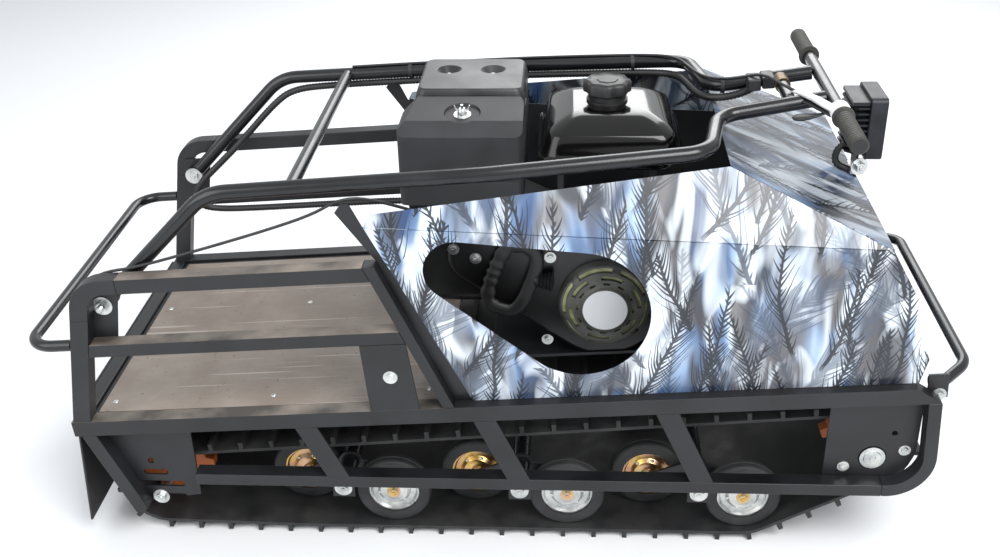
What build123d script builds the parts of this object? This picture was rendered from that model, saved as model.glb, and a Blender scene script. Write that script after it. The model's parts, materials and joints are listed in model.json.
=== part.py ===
"""Tracked snow tug: welded side frames, one wide track, load deck, open engine under a
sheet hood and a steering handle that folds forward over the engine. Millimetres.
+X is the front, +Z is up and the origin is on the floor under the middle of the tug."""

import math
import os

from build123d import *

os.makedirs("parts", exist_ok=True)

# Driving sizes: lengths in millimetres, angles in degrees. Places along the tug are
# measured forwards from the rear frame corner, heights from the floor or, for what
# stands on the pitched upper frame, square to that frame.
deck_pitch = 3.6
half_width = 320.0
rail_depth = 30.0
sheet = 2.0
plate = 4.0
seat_gap = 0.3

# Bumpers set the overall length.
bumper_radius = 10.0
rear_bumper_x = -60.0
rear_bumper_z = 431.0
front_bumper_x = 1533.0
front_bumper_z = 275.0

# Upper frame, in the pitched frame.
beam_top = 282.0
beam_height = 30.0
beam_rear = -16.0
beam_front = 1473.0
beam_chamfer_x = 40.0
beam_chamfer_z = 28.0
rail_top = 559.0
rail_face = 27.0
mid_rail_top = 437.0
mid_rail_face = 24.0
post_width = 32.0
post_lean = 13.0
post_foot = -12.0
rail_corner_radius = 62.0
slant_lean = 20.2
slant_width = 20.0
slant_top_x = 540.0
gusset_rear_x = 515.0
gusset_foot_x = 517.0
gusset_inset = 40.0

# Lower frame, level with the floor.
rail_floor = 149.0
rail_height = 23.0
rail_rear = 171.0
nose_rail_x = 1380.0
nose_foot_x = 1457.5
nose_head_x = 1443.0
nose_bend_radius = 68.0
nose_plate_rear = 1282.0
tail_head_x = -19.0
tail_foot_x = 62.0
tail_foot_z = 86.0
tail_rail_face = 25.0
tail_plate_front = 165.0
tail_plate_foot = 104.0
bay_pitch = 320.0
bay_first = 430.0
bay_count = 3
bar_width = 40.0
bar_lean = 24.5

# Track, sprockets and rollers.
track_gap = 22.0
belt = 6.0
lug_height = 14.0
lug_width = 8.0
lug_count = 54
sprocket_x = 1364.0
sprocket_z = 210.0
idler_x = 90.0
idler_z = 98.0
wheel_wrap = 78.0
roller_radius = 69.0
roller_width = 28.0
roller_disc_radius = 47.0
roller_offset = 85.0
outer_roller_inset = 26.0
inner_roller_inset = 90.0
roller_axle_radius = 8.0
bogie_plate = 6.0
bogie_pivot_z = 124.0
bogie_tube_radius = 16.0
bogie_eye = 17.0
sprocket_inset = 88.0
sprocket_width = 22.0
sprocket_teeth = 9
drive_shaft_radius = 15.0
idler_shaft_radius = 10.0

# Handle.
handle_radius = 12.5
pivot_x = 85.0
pivot_z = 497.0
pivot_side_gap = 7.5
pivot_bolt_radius = 6.0
pivot_clearance = 0.2
handle_eye_radius = 17.0
handle_bend_x = 297.0
handle_height = 687.0
handle_spread = 15.0
handle_waist_x = 760.0
handle_waist_spread = 1.0
neck_start_x = 1103.0
neck_start_inset = 38.0
neck_bend_x = 1130.0
neck_bend_y = 75.0
neck_end_x = 1309.0
neck_end_y = 66.0
grip_bar_x = 1321.0
grip_bar_step = 18.0
grip_bar_radius = 11.0
grip_bar_half = 284.0
grip_length = 128.0
grip_radius = 15.0

# Engine, level with the floor, on a plate in the pitched frame.
engine_plate_top = 276.0
engine_plate_length = 380.0
engine_plate_gap = 75.0
case_half = 85.0
crank_x = 899.0
crank_z = 441.0

cos_pitch = math.cos(math.radians(deck_pitch))
sin_pitch = math.sin(math.radians(deck_pitch))
bumper_rear_reach = rear_bumper_x * cos_pitch - rear_bumper_z * sin_pitch - bumper_radius
bumper_front_reach = front_bumper_x * cos_pitch - front_bumper_z * sin_pitch + bumper_radius
middle = (bumper_rear_reach + bumper_front_reach) / 2


def floor_point(x, y, z):
    """A point given level with the floor."""
    return Vector(x - middle, y, z)


def deck_point(x, y, z):
    """A point given in the pitched frame of the upper structure."""
    return Vector(x * cos_pitch - z * sin_pitch - middle, y, x * sin_pitch + z * cos_pitch)


def floor_side(y):
    """Upright plane at y, seen from the right: its x is forwards and its y is up."""
    return Plane(origin=floor_point(0, y, 0), x_dir=(1, 0, 0), z_dir=(0, -1, 0))


def floor_level(z):
    """Plane level with the floor: its x is forwards and its y is to the left."""
    return Plane(origin=floor_point(0, 0, z), x_dir=(1, 0, 0), z_dir=(0, 0, 1))


def floor_facing(x):
    """Upright plane facing forwards: its x is to the left and its y is up."""
    return Plane(origin=floor_point(x, 0, 0), x_dir=(0, 1, 0), z_dir=(1, 0, 0))


def deck_side(y):
    """The same plane in the pitched frame."""
    return Plane(origin=deck_point(0, y, 0), x_dir=(cos_pitch, 0, sin_pitch), z_dir=(0, -1, 0))


def deck_level(z):
    """Plane parallel to the deck: its x is forwards and its y is to the left."""
    return Plane(
        origin=deck_point(0, 0, z),
        x_dir=(cos_pitch, 0, sin_pitch),
        z_dir=(-sin_pitch, 0, cos_pitch),
    )


def deck_facing(x):
    """Plane square to the deck, facing forwards: its x is to the left, its y is up."""
    return Plane(origin=deck_point(x, 0, 0), x_dir=(0, 1, 0), z_dir=(cos_pitch, 0, sin_pitch))


def rod(start, end, radius):
    """One straight round bar, added to the open part."""
    run = end - start
    with BuildSketch(Plane(origin=start, z_dir=run)) as section:
        Circle(radius)
    extrude(section.sketch, amount=run.length)


def bent_tube(points, radii, radius):
    """A round tube along straight runs joined by arcs, added to the open part."""
    with BuildLine() as route:
        FilletPolyline(*points, radius=radii)
    path = route.wire()
    with BuildSketch(Plane(origin=path @ 0, z_dir=path % 0)) as section:
        Circle(radius)
    sweep(section.sketch, path=path)


def finish(part, name):
    """Label a finished piece and write it."""
    part.part.label = name
    export_step(part.part, f"parts/{name}.step")


inner_face = half_width - rail_depth
beam_bottom = beam_top - beam_height
rail_ceiling = rail_floor + rail_height
track_half = inner_face - track_gap
outer_roller_y = track_half - outer_roller_inset
inner_roller_y = track_half - inner_roller_inset
sprocket_y = track_half - sprocket_inset
pivot_y = inner_face - plate - pivot_side_gap - handle_radius
handle_bend_y = pivot_y + handle_spread
handle_waist_y = pivot_y + handle_waist_spread
neck_start_y = pivot_y - neck_start_inset
grip_bar_z = handle_height + grip_bar_step

# Side beams: the straight top members of the lower frame.
with BuildPart() as side_beams:
    with BuildSketch(deck_side(-inner_face)):
        with BuildLine():
            Polyline(
                (beam_rear, beam_bottom),
                (beam_rear, beam_top),
                (beam_front - beam_chamfer_x, beam_top),
                (beam_front, beam_top - beam_chamfer_z),
                (beam_front, beam_bottom),
                close=True,
            )
        make_face()
    extrude(amount=rail_depth)
    mirror(about=Plane.XZ)
finish(side_beams, "side_beams")

# Lower rails, straight, level with the floor.
with BuildPart() as lower_rails:
    with BuildSketch(floor_side(-inner_face)):
        with BuildLine():
            Polyline(
                (rail_rear, rail_floor),
                (nose_rail_x, rail_floor),
                (nose_rail_x, rail_ceiling),
                (rail_rear, rail_ceiling),
                close=True,
            )
        make_face()
    extrude(amount=rail_depth)
    mirror(about=Plane.XZ)
finish(lower_rails, "lower_rails")

# Nose rails: the bent front ends of the lower frame, up to the beam's underside.
rail_centre = rail_floor + rail_height / 2
with BuildPart() as nose_rails:
    with BuildSketch(floor_side(-inner_face)):
        with BuildLine():
            FilletPolyline(
                (nose_rail_x, rail_centre),
                (nose_foot_x, rail_centre),
                (nose_head_x, beam_top + beam_front * sin_pitch),
                radius=nose_bend_radius,
            )
        trace(line_width=rail_height)
    extrude(amount=rail_depth)
    split(bisect_by=deck_level(beam_bottom), keep=Keep.BOTTOM)
    mirror(about=Plane.XZ)
finish(nose_rails, "nose_rails")

# Tail rails: the slanted rear ends of the lower frame.
with BuildPart() as tail_rails:
    with BuildSketch(floor_side(-inner_face)):
        with BuildLine():
            Line((2 * tail_head_x - tail_foot_x, 2 * beam_top - tail_foot_z), (tail_foot_x, tail_foot_z))
        trace(line_width=tail_rail_face)
    extrude(amount=rail_depth)
    split(bisect_by=deck_level(beam_bottom), keep=Keep.BOTTOM)
    mirror(about=Plane.XZ)
finish(tail_rails, "tail_rails")

# Window bars: slanted plates that part the side openings.
bar_rise = 2 * beam_top
with BuildPart() as window_bars:
    with BuildSketch(floor_side(-half_width + plate)):
        for bay in range(bay_count):
            foot = bay_first + bay * bay_pitch
            head = foot - bar_rise * math.tan(math.radians(bar_lean))
            with BuildLine():
                Polyline(
                    (foot - bar_width / 2, rail_ceiling),
                    (foot + bar_width / 2, rail_ceiling),
                    (head + bar_width / 2, rail_ceiling + bar_rise),
                    (head - bar_width / 2, rail_ceiling + bar_rise),
                    close=True,
                )
            make_face()
    extrude(amount=plate)
    split(bisect_by=deck_level(beam_bottom), keep=Keep.BOTTOM)
    mirror(about=Plane.XZ)
finish(window_bars, "window_bars")

# Nose plates: recessed plates that carry the drive shaft's bearings.
nose_plate_ceiling = 352.0
nose_plate_front = 1437.0
nose_plate_lap = 8.0
bearing_hole_radius = 24.0
bearing_bolt_reach = 54.0
bearing_bolt_angle = 20.0
bearing_bolt_radius = 6.5
nose_plate_hole = (1396.0, 262.0)
nose_plate_hole_radius = 5.0
bearing_reach_x = bearing_bolt_reach * math.cos(math.radians(bearing_bolt_angle))
bearing_reach_z = bearing_bolt_reach * math.sin(math.radians(bearing_bolt_angle))
with BuildPart() as nose_plates:
    with BuildSketch(floor_side(-inner_face + plate)) as nose_plate_sketch:
        with BuildLine():
            Polyline(
                (nose_plate_rear, rail_ceiling - nose_plate_lap),
                (nose_plate_front, rail_ceiling - nose_plate_lap),
                (nose_plate_front, nose_plate_ceiling),
                (nose_plate_rear, nose_plate_ceiling),
                close=True,
            )
        make_face()
        fillet(nose_plate_sketch.vertices().group_by(Axis.X)[-1].sort_by(Axis.Y)[0], nose_bend_radius)
        with Locations((sprocket_x, sprocket_z)):
            Circle(bearing_hole_radius, mode=Mode.SUBTRACT)
        with Locations(
            (sprocket_x - bearing_reach_x, sprocket_z - bearing_reach_z),
            (sprocket_x + bearing_reach_x, sprocket_z + bearing_reach_z),
        ):
            Circle(bearing_bolt_radius, mode=Mode.SUBTRACT)
        with Locations(nose_plate_hole):
            Circle(nose_plate_hole_radius, mode=Mode.SUBTRACT)
    extrude(amount=plate)
    mirror(about=Plane.XZ)
finish(nose_plates, "nose_plates")

# Tail plates: recessed plates with the slots of the rear axle.
tail_plate_rear = -14.0
tail_plate_ceiling = 290.0
tail_plate_lap = 7.0
tail_plate_corner = 60.0
tail_plate_hole = (83.0, 178.0)
tail_plate_hole_radius = 6.0
slot_height = 12.0
# slot rows: x, z, length
slot_rows = [(88.0, 153.0, 46.0), (98.0, 127.0, 80.0), (98.0, 98.0, 80.0)]
with BuildPart() as tail_plates:
    with BuildSketch(floor_side(-inner_face + plate)):
        with BuildLine():
            Polyline(
                (tail_plate_corner, tail_foot_z),
                (tail_plate_front, tail_plate_foot),
                (tail_plate_front, tail_plate_ceiling),
                (tail_plate_rear, tail_plate_ceiling),
                close=True,
            )
        make_face()
        with Locations(tail_plate_hole):
            Circle(tail_plate_hole_radius, mode=Mode.SUBTRACT)
        for slot_x, slot_z, slot_length in slot_rows:
            with Locations((slot_x, slot_z)):
                SlotOverall(slot_length, slot_height, mode=Mode.SUBTRACT)
    extrude(amount=plate)
    split(bisect_by=deck_level(beam_bottom + tail_plate_lap), keep=Keep.BOTTOM)
    mirror(about=Plane.XZ)
finish(tail_plates, "tail_plates")

# Rear posts and the slanted front members of the deck rails.
rail_floor_z = rail_top - rail_face
post_rise = rail_top - rail_corner_radius - rail_face / 2 - beam_top
post_shift = math.tan(math.radians(post_lean))
slant_shift = math.tan(math.radians(slant_lean))
with BuildPart() as rail_posts:
    with BuildSketch(deck_side(-inner_face)):
        with BuildLine():
            Polyline(
                (post_foot, beam_top),
                (post_foot + post_width, beam_top),
                (post_foot + post_width + post_rise * post_shift, beam_top + post_rise),
                (post_foot + post_rise * post_shift, beam_top + post_rise),
                close=True,
            )
        make_face()
        slant_rise = rail_top - beam_top
        with BuildLine():
            Polyline(
                (slant_top_x, rail_top),
                (slant_top_x + slant_width, rail_top),
                (slant_top_x + slant_width + slant_rise * slant_shift, beam_top),
                (slant_top_x + slant_rise * slant_shift, beam_top),
                close=True,
            )
        make_face()
    extrude(amount=rail_depth)
    mirror(about=Plane.XZ)
finish(rail_posts, "rail_posts")

# Rounded rear corners of the deck rails, between post and top rail.
corner_foot_x = post_foot + post_rise * post_shift
corner_foot_z = beam_top + post_rise
corner_head_x = corner_foot_x + post_width + rail_corner_radius
with BuildPart() as rail_corners:
    with BuildSketch(deck_side(-inner_face)) as corner_sketch:
        with BuildLine():
            Polyline(
                (corner_foot_x, corner_foot_z),
                (corner_foot_x + (rail_top - corner_foot_z) * post_shift, rail_top),
                (corner_head_x, rail_top),
                (corner_head_x, rail_floor_z),
                (corner_foot_x + post_width + (rail_floor_z - corner_foot_z) * post_shift, rail_floor_z),
                (corner_foot_x + post_width, corner_foot_z),
                close=True,
            )
        make_face()
        outer_corner = Vector(corner_foot_x + (rail_top - corner_foot_z) * post_shift, rail_top)
        inner_corner = Vector(
            corner_foot_x + post_width + (rail_floor_z - corner_foot_z) * post_shift, rail_floor_z
        )
        fillet(corner_sketch.vertices().sort_by_distance(outer_corner)[0], rail_corner_radius)
        fillet(
            corner_sketch.vertices().sort_by_distance(inner_corner)[0], rail_corner_radius - rail_face
        )
    extrude(amount=rail_depth)
    mirror(about=Plane.XZ)
finish(rail_corners, "rail_corners")

# Top rails and mid rails of the deck, each side.
def slant_face(z):
    """Rear edge of the slanted member at height z."""
    return slant_top_x + (rail_top - z) * slant_shift


def post_face(z):
    """Front edge of the rear post at height z."""
    return post_foot + post_width + (z - beam_top) * post_shift


mid_rail_floor = mid_rail_top - mid_rail_face
with BuildPart() as top_rails:
    with BuildSketch(deck_side(-inner_face)):
        with BuildLine():
            Polyline(
                (corner_head_x, rail_floor_z),
                (slant_face(rail_floor_z), rail_floor_z),
                (slant_face(rail_top), rail_top),
                (corner_head_x, rail_top),
                close=True,
            )
        make_face()
    extrude(amount=rail_depth)
    mirror(about=Plane.XZ)
finish(top_rails, "top_rails")

with BuildPart() as mid_rails:
    with BuildSketch(deck_side(-inner_face)):
        with BuildLine():
            Polyline(
                (post_face(mid_rail_floor), mid_rail_floor),
                (slant_face(mid_rail_floor), mid_rail_floor),
                (slant_face(mid_rail_top), mid_rail_top),
                (post_face(mid_rail_top), mid_rail_top),
                close=True,
            )
        make_face()
    extrude(amount=rail_depth)
    mirror(about=Plane.XZ)
finish(mid_rails, "mid_rails")

# Gusset plates between mid rail, beam and slanted member.
with BuildPart() as gusset_plates:
    with BuildSketch(deck_side(-half_width + plate)):
        with BuildLine():
            Polyline(
                (gusset_rear_x, mid_rail_floor),
                (gusset_foot_x, beam_top),
                (slant_face(beam_top) - gusset_inset, beam_top),
                (slant_face(mid_rail_floor), mid_rail_floor),
                close=True,
            )
        make_face()
    extrude(amount=plate)
    mirror(about=Plane.XZ)
finish(gusset_plates, "gusset_plates")

# Pivot brackets inside the rear posts.
bracket_foot = 425.0
bracket_head = 521.0
bracket_length = 56.0
bracket_rear = 38.0
with BuildPart() as pivot_brackets:
    with BuildSketch(deck_side(-inner_face + plate)):
        bracket_shift = (bracket_head - bracket_foot) * post_shift
        with BuildLine():
            Polyline(
                (bracket_rear, bracket_foot),
                (bracket_rear + bracket_length, bracket_foot),
                (bracket_rear + bracket_length + bracket_shift, bracket_head),
                (bracket_rear + bracket_shift, bracket_head),
                close=True,
            )
        make_face()
        with Locations((pivot_x, pivot_z)):
            Circle(pivot_bolt_radius + pivot_clearance, mode=Mode.SUBTRACT)
    extrude(amount=plate)
    mirror(about=Plane.XZ)
finish(pivot_brackets, "pivot_brackets")

# Cross members between the side beams.
cross_height = 20.0
cross_width = 30.0
deck_top = 277.0
deck_thickness = 12.0
deck_bottom = deck_top - deck_thickness
deck_cross_places = [200.0, 335.0, 480.0, 620.0]
deck_front = 640.0
engine_plate_thickness = 6.0
engine_cross_inset = 45.0
engine_plate_rear = deck_front + engine_plate_gap
engine_plate_front = engine_plate_rear + engine_plate_length
engine_cross_places = [
    engine_plate_rear + engine_cross_inset,
    engine_plate_front - engine_cross_inset,
]
with BuildPart() as cross_members:
    with BuildSketch(deck_level(deck_bottom)):
        for place in deck_cross_places:
            with Locations((place, 0)):
                Rectangle(cross_width, 2 * inner_face)
    extrude(amount=-cross_height)
    with BuildSketch(deck_level(engine_plate_top - engine_plate_thickness)):
        for place in engine_cross_places:
            with Locations((place, 0)):
                Rectangle(cross_width, 2 * inner_face)
    extrude(amount=-cross_height)
finish(cross_members, "cross_members")

# Rear cross bar that the flap hangs on.
with BuildPart() as tail_cross_bar:
    with BuildSketch(deck_level(beam_top)):
        with Locations((beam_rear + rail_face / 2, 0)):
            Rectangle(rail_face, 2 * inner_face)
    extrude(amount=-cross_height)
finish(tail_cross_bar, "tail_cross_bar")

# Load deck of film-faced plywood with its edge strips.
edging = 6.0
edging_gap = 1.0
deck_rear = beam_rear + rail_face + edging_gap
deck_side_gap = 2.0
with BuildPart() as deck_board:
    with BuildSketch(deck_level(deck_bottom)):
        with Locations(((deck_rear + edging + edging_gap + deck_front) / 2, 0)):
            Rectangle(
                deck_front - deck_rear - edging - edging_gap,
                2 * (inner_face - deck_side_gap - edging - edging_gap),
            )
    extrude(amount=deck_thickness)
finish(deck_board, "deck_board")

with BuildPart() as deck_edging:
    with BuildSketch(deck_level(deck_bottom)):
        with Locations(((deck_rear + deck_front) / 2, 0)):
            Rectangle(deck_front - deck_rear, 2 * (inner_face - deck_side_gap))
        with Locations(((deck_rear + edging + deck_front + edging) / 2, 0)):
            Rectangle(
                deck_front - deck_rear, 2 * (inner_face - deck_side_gap - edging), mode=Mode.SUBTRACT
            )
    extrude(amount=deck_thickness)
finish(deck_edging, "deck_edging")

# Track: one closed belt with its cross lugs.
first_roller_x = bay_first - roller_offset
last_roller_x = bay_first + roller_offset + (bay_count - 1) * bay_pitch
roller_z = lug_height + belt + roller_radius
belt_outer_roller = roller_radius + belt
track_wheels = [
    (idler_x, idler_z, wheel_wrap),
    (first_roller_x, roller_z, belt_outer_roller),
    (last_roller_x, roller_z, belt_outer_roller),
    (sprocket_x, sprocket_z, wheel_wrap),
]
with BuildSketch() as belt_outline:
    for wheel_x, wheel_z, wheel_radius in track_wheels:
        with Locations((wheel_x, wheel_z)):
            Circle(wheel_radius)
    make_hull()
belt_wire = belt_outline.sketch.faces()[0].outer_wire()
with BuildPart() as track:
    with BuildSketch(floor_side(track_half)) as track_profile:
        for lug in range(lug_count):
            share = lug / lug_count
            seat = belt_wire.position_at(share)
            heading = belt_wire.tangent_at(share)
            angle = math.degrees(math.atan2(heading.Y, heading.X))
            with Locations(Location((seat.X, seat.Y, 0), (0, 0, angle))):
                Rectangle(lug_width, 2 * lug_height)
        with BuildSketch(mode=Mode.PRIVATE) as belt_face:
            for wheel_x, wheel_z, wheel_radius in track_wheels:
                with Locations((wheel_x, wheel_z)):
                    Circle(wheel_radius)
            make_hull()
        add(belt_face.sketch)
        with BuildSketch(mode=Mode.PRIVATE) as belt_hollow:
            for wheel_x, wheel_z, wheel_radius in track_wheels:
                with Locations((wheel_x, wheel_z)):
                    Circle(wheel_radius - belt)
            make_hull()
        add(belt_hollow.sketch, mode=Mode.SUBTRACT)
    extrude(amount=2 * track_half)
finish(track, "track")

# Rollers: rubber tyres on pressed discs, carried in pairs by balance arms.
bay_places = [bay_first + bay * bay_pitch for bay in range(bay_count)]
tyre_crown = 4.0
running_gap = 0.2
disc_width = 20.0
hub_radius = 22.0
hub_width = 26.0
# roller rows: distance from the bay's pivot, distance from the tug's centre plane
roller_rows = [(roller_offset, outer_roller_y), (-roller_offset, inner_roller_y)]
with BuildPart() as roller_tyres:
    for bay_x in bay_places:
        for reach, row_y in roller_rows:
            centre = Plane(
                origin=floor_point(bay_x + reach, -row_y, roller_z), x_dir=(1, 0, 0), z_dir=(0, 0, 1)
            )
            with BuildSketch(centre):
                with BuildLine():
                    Polyline(
                        (roller_disc_radius, -roller_width / 2),
                        (roller_radius - tyre_crown, -roller_width / 2),
                        (roller_radius - seat_gap, -roller_width / 2 + tyre_crown),
                        (roller_radius - seat_gap, roller_width / 2 - tyre_crown),
                        (roller_radius - tyre_crown, roller_width / 2),
                        (roller_disc_radius, roller_width / 2),
                        close=True,
                    )
                make_face()
            revolve(axis=Axis(centre.origin, (0, 1, 0)))
    mirror(about=Plane.XZ)
finish(roller_tyres, "roller_tyres")

with BuildPart() as roller_discs:
    for bay_x in bay_places:
        for reach, row_y in roller_rows:
            centre = Plane(
                origin=floor_point(bay_x + reach, -row_y, roller_z), x_dir=(1, 0, 0), z_dir=(0, 0, 1)
            )
            with BuildSketch(centre):
                with BuildLine():
                    Polyline(
                        (roller_axle_radius + running_gap, -hub_width / 2),
                        (hub_radius, -hub_width / 2),
                        (roller_disc_radius - seat_gap, -disc_width / 2),
                        (roller_disc_radius - seat_gap, disc_width / 2),
                        (hub_radius, hub_width / 2),
                        (roller_axle_radius + running_gap, hub_width / 2),
                        close=True,
                    )
                make_face()
            revolve(axis=Axis(centre.origin, (0, 1, 0)))
    mirror(about=Plane.XZ)
finish(roller_discs, "roller_discs")

# Balance arms: one plate on each side of every bay, between the two roller rows.
arm_y = (outer_roller_y + inner_roller_y) / 2
arm_width = 30.0
with BuildPart() as balance_arms:
    with BuildSketch(floor_side(-arm_y + bogie_plate / 2)):
        for bay_x in bay_places:
            with BuildLine():
                Polyline(
                    (bay_x - roller_offset, roller_z),
                    (bay_x, bogie_pivot_z),
                    (bay_x + roller_offset, roller_z),
                )
            trace(line_width=arm_width)
            with Locations((bay_x - roller_offset, roller_z), (bay_x + roller_offset, roller_z)):
                Circle(arm_width / 2)
            with Locations((bay_x, bogie_pivot_z)):
                Circle(bogie_tube_radius + bogie_plate)
            with Locations((bay_x - roller_offset, roller_z), (bay_x + roller_offset, roller_z)):
                Circle(roller_axle_radius + running_gap, mode=Mode.SUBTRACT)
            with Locations((bay_x, bogie_pivot_z)):
                Circle(bogie_tube_radius + running_gap, mode=Mode.SUBTRACT)
    extrude(amount=bogie_plate)
    mirror(about=Plane.XZ)
finish(balance_arms, "balance_arms")

# Short axles that join each roller to its balance arm.
axle_stub = 6.0
with BuildPart() as roller_axles:
    for bay_x in bay_places:
        for reach, row_y in roller_rows:
            side = 1 if row_y > arm_y else -1
            start_y = arm_y - side * (bogie_plate / 2 + axle_stub)
            end_y = row_y + side * (hub_width / 2 + axle_stub)
            rod(
                floor_point(bay_x + reach, -start_y, roller_z),
                floor_point(bay_x + reach, -end_y, roller_z),
                roller_axle_radius,
            )
    mirror(about=Plane.XZ)
finish(roller_axles, "roller_axles")

# Cross tubes that the balance arms turn on, between lugs under the lower rails.
lug_plate_width = 40.0
lug_plate_foot = bogie_pivot_z - bogie_tube_radius - plate
lug_plate_head = rail_floor + rail_height / 2
with BuildPart() as pivot_tubes:
    for bay_x in bay_places:
        rod(
            floor_point(bay_x, -(inner_face - plate), bogie_pivot_z),
            floor_point(bay_x, inner_face - plate, bogie_pivot_z),
            bogie_tube_radius,
        )
finish(pivot_tubes, "pivot_tubes")

with BuildPart() as pivot_lugs:
    with BuildSketch(floor_side(-inner_face + plate)):
        for bay_x in bay_places:
            with Locations((bay_x, (lug_plate_foot + lug_plate_head) / 2)):
                Rectangle(lug_plate_width, lug_plate_head - lug_plate_foot)
    extrude(amount=plate)
    mirror(about=Plane.XZ)
finish(pivot_lugs, "pivot_lugs")

# Drive shaft with its two sprockets and flange bearings.
tooth_height = 14.0
tooth_root = 16.0
tooth_tip = 9.0
sprocket_tip = wheel_wrap - belt - seat_gap
sprocket_rim = sprocket_tip - tooth_height


def sprocket(centre_x, centre_z, shaft_radius):
    """A moulded track sprocket on each side, teeth short of the belt's inner face."""
    with BuildSketch(floor_side(-sprocket_y + sprocket_width / 2)) as outline:
        with Locations((centre_x, centre_z)):
            Circle(sprocket_rim)
            with PolarLocations(sprocket_rim, sprocket_teeth):
                Polygon(
                    (-tooth_root, -tooth_root),
                    (tooth_height, -tooth_tip),
                    (tooth_height, tooth_tip),
                    (-tooth_root, tooth_root),
                    align=None,
                )
            Circle(sprocket_tip, mode=Mode.INTERSECT)
            Circle(shaft_radius + running_gap, mode=Mode.SUBTRACT)
    extrude(outline.sketch, amount=sprocket_width)
    mirror(about=Plane.XZ)


with BuildPart() as drive_sprockets:
    sprocket(sprocket_x, sprocket_z, drive_shaft_radius)
finish(drive_sprockets, "drive_sprockets")

with BuildPart() as idler_sprockets:
    sprocket(idler_x, idler_z, idler_shaft_radius)
finish(idler_sprockets, "idler_sprockets")

with BuildPart() as drive_shaft:
    rod(
        floor_point(sprocket_x, -inner_face, sprocket_z),
        floor_point(sprocket_x, inner_face, sprocket_z),
        drive_shaft_radius,
    )
finish(drive_shaft, "drive_shaft")

with BuildPart() as idler_shaft:
    rod(
        floor_point(idler_x, -(inner_face - plate), idler_z),
        floor_point(idler_x, inner_face - plate, idler_z),
        idler_shaft_radius,
    )
finish(idler_shaft, "idler_shaft")

bearing_depth = 16.0
bearing_radius = 33.0
bearing_ear_radius = 15.0
with BuildPart() as shaft_bearings:
    with BuildSketch(floor_side(-inner_face + plate + bearing_depth)):
        with Locations((sprocket_x, sprocket_z)):
            Circle(bearing_radius)
        with Locations(
            (sprocket_x - bearing_reach_x, sprocket_z - bearing_reach_z),
            (sprocket_x + bearing_reach_x, sprocket_z + bearing_reach_z),
        ):
            Circle(bearing_ear_radius)
        make_hull()
        with Locations((sprocket_x, sprocket_z)):
            Circle(drive_shaft_radius + running_gap, mode=Mode.SUBTRACT)
    extrude(amount=bearing_depth)
    mirror(about=Plane.XZ)
finish(shaft_bearings, "shaft_bearings")

# Bumpers: bent round tubes.
bumper_bend = 45.0
rear_bumper_y = half_width - 1.5 * bumper_radius
front_bumper_inset = 56.0
front_bumper_y = inner_face - front_bumper_inset
rear_bumper_start = post_foot + (rear_bumper_z - bumper_radius - beam_top) * post_shift - seat_gap
with BuildPart() as rear_bumper:
    bent_tube(
        [
            deck_point(rear_bumper_start, -rear_bumper_y, rear_bumper_z),
            deck_point(rear_bumper_x, -rear_bumper_y, rear_bumper_z),
            deck_point(rear_bumper_x, rear_bumper_y, rear_bumper_z),
            deck_point(rear_bumper_start, rear_bumper_y, rear_bumper_z),
        ],
        bumper_bend,
        bumper_radius,
    )
finish(rear_bumper, "rear_bumper")

bumper_foot_x = 1462.0
bumper_turn_x = 1486.0
bumper_turn = 25.0
bumper_foot_z = 268.0
bumper_plate_x = 1474.0
bumper_plate_length = 34.0
bumper_plate_height = 46.0
bumper_foot_y = inner_face - plate - seat_gap - bumper_radius
with BuildPart() as front_bumper:
    bent_tube(
        [
            deck_point(bumper_foot_x, -bumper_foot_y, bumper_foot_z),
            deck_point(bumper_turn_x, -bumper_foot_y, bumper_foot_z),
            deck_point(front_bumper_x, -front_bumper_y, front_bumper_z),
            deck_point(front_bumper_x, front_bumper_y, front_bumper_z),
            deck_point(bumper_turn_x, bumper_foot_y, bumper_foot_z),
            deck_point(bumper_foot_x, bumper_foot_y, bumper_foot_z),
        ],
        [bumper_turn, bumper_bend, bumper_bend, bumper_turn],
        bumper_radius,
    )
finish(front_bumper, "front_bumper")

with BuildPart() as bumper_plates:
    with BuildSketch(deck_side(-inner_face + plate)):
        with Locations((bumper_plate_x, bumper_foot_z)):
            Rectangle(bumper_plate_length, bumper_plate_height)
    extrude(amount=plate)
    mirror(about=Plane.XZ)
finish(bumper_plates, "bumper_plates")

# Rear flap: a rubber sheet hung on the tail cross bar.
flap_thickness = 4.0
flap_foot_x = -51.0
flap_foot_z = 40.0
flap_half = inner_face - edging_gap
flap_head_x = beam_rear - seat_gap - flap_thickness / 2
with BuildPart() as rear_flap:
    with BuildSketch(deck_side(flap_half)):
        with BuildLine():
            Line((flap_head_x, beam_top), (flap_foot_x, flap_foot_z))
        trace(line_width=flap_thickness)
    extrude(amount=2 * flap_half)
finish(rear_flap, "rear_flap")

# Engine plate, engine and its covers.
engine_plate_margin = 65.0
engine_plate_half = case_half + engine_plate_margin
with BuildPart() as engine_plate:
    with BuildSketch(deck_level(engine_plate_top)):
        with Locations(((engine_plate_rear + engine_plate_front) / 2, 0)):
            Rectangle(engine_plate_front - engine_plate_rear, 2 * engine_plate_half)
    extrude(amount=-engine_plate_thickness)
finish(engine_plate, "engine_plate")

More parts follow.
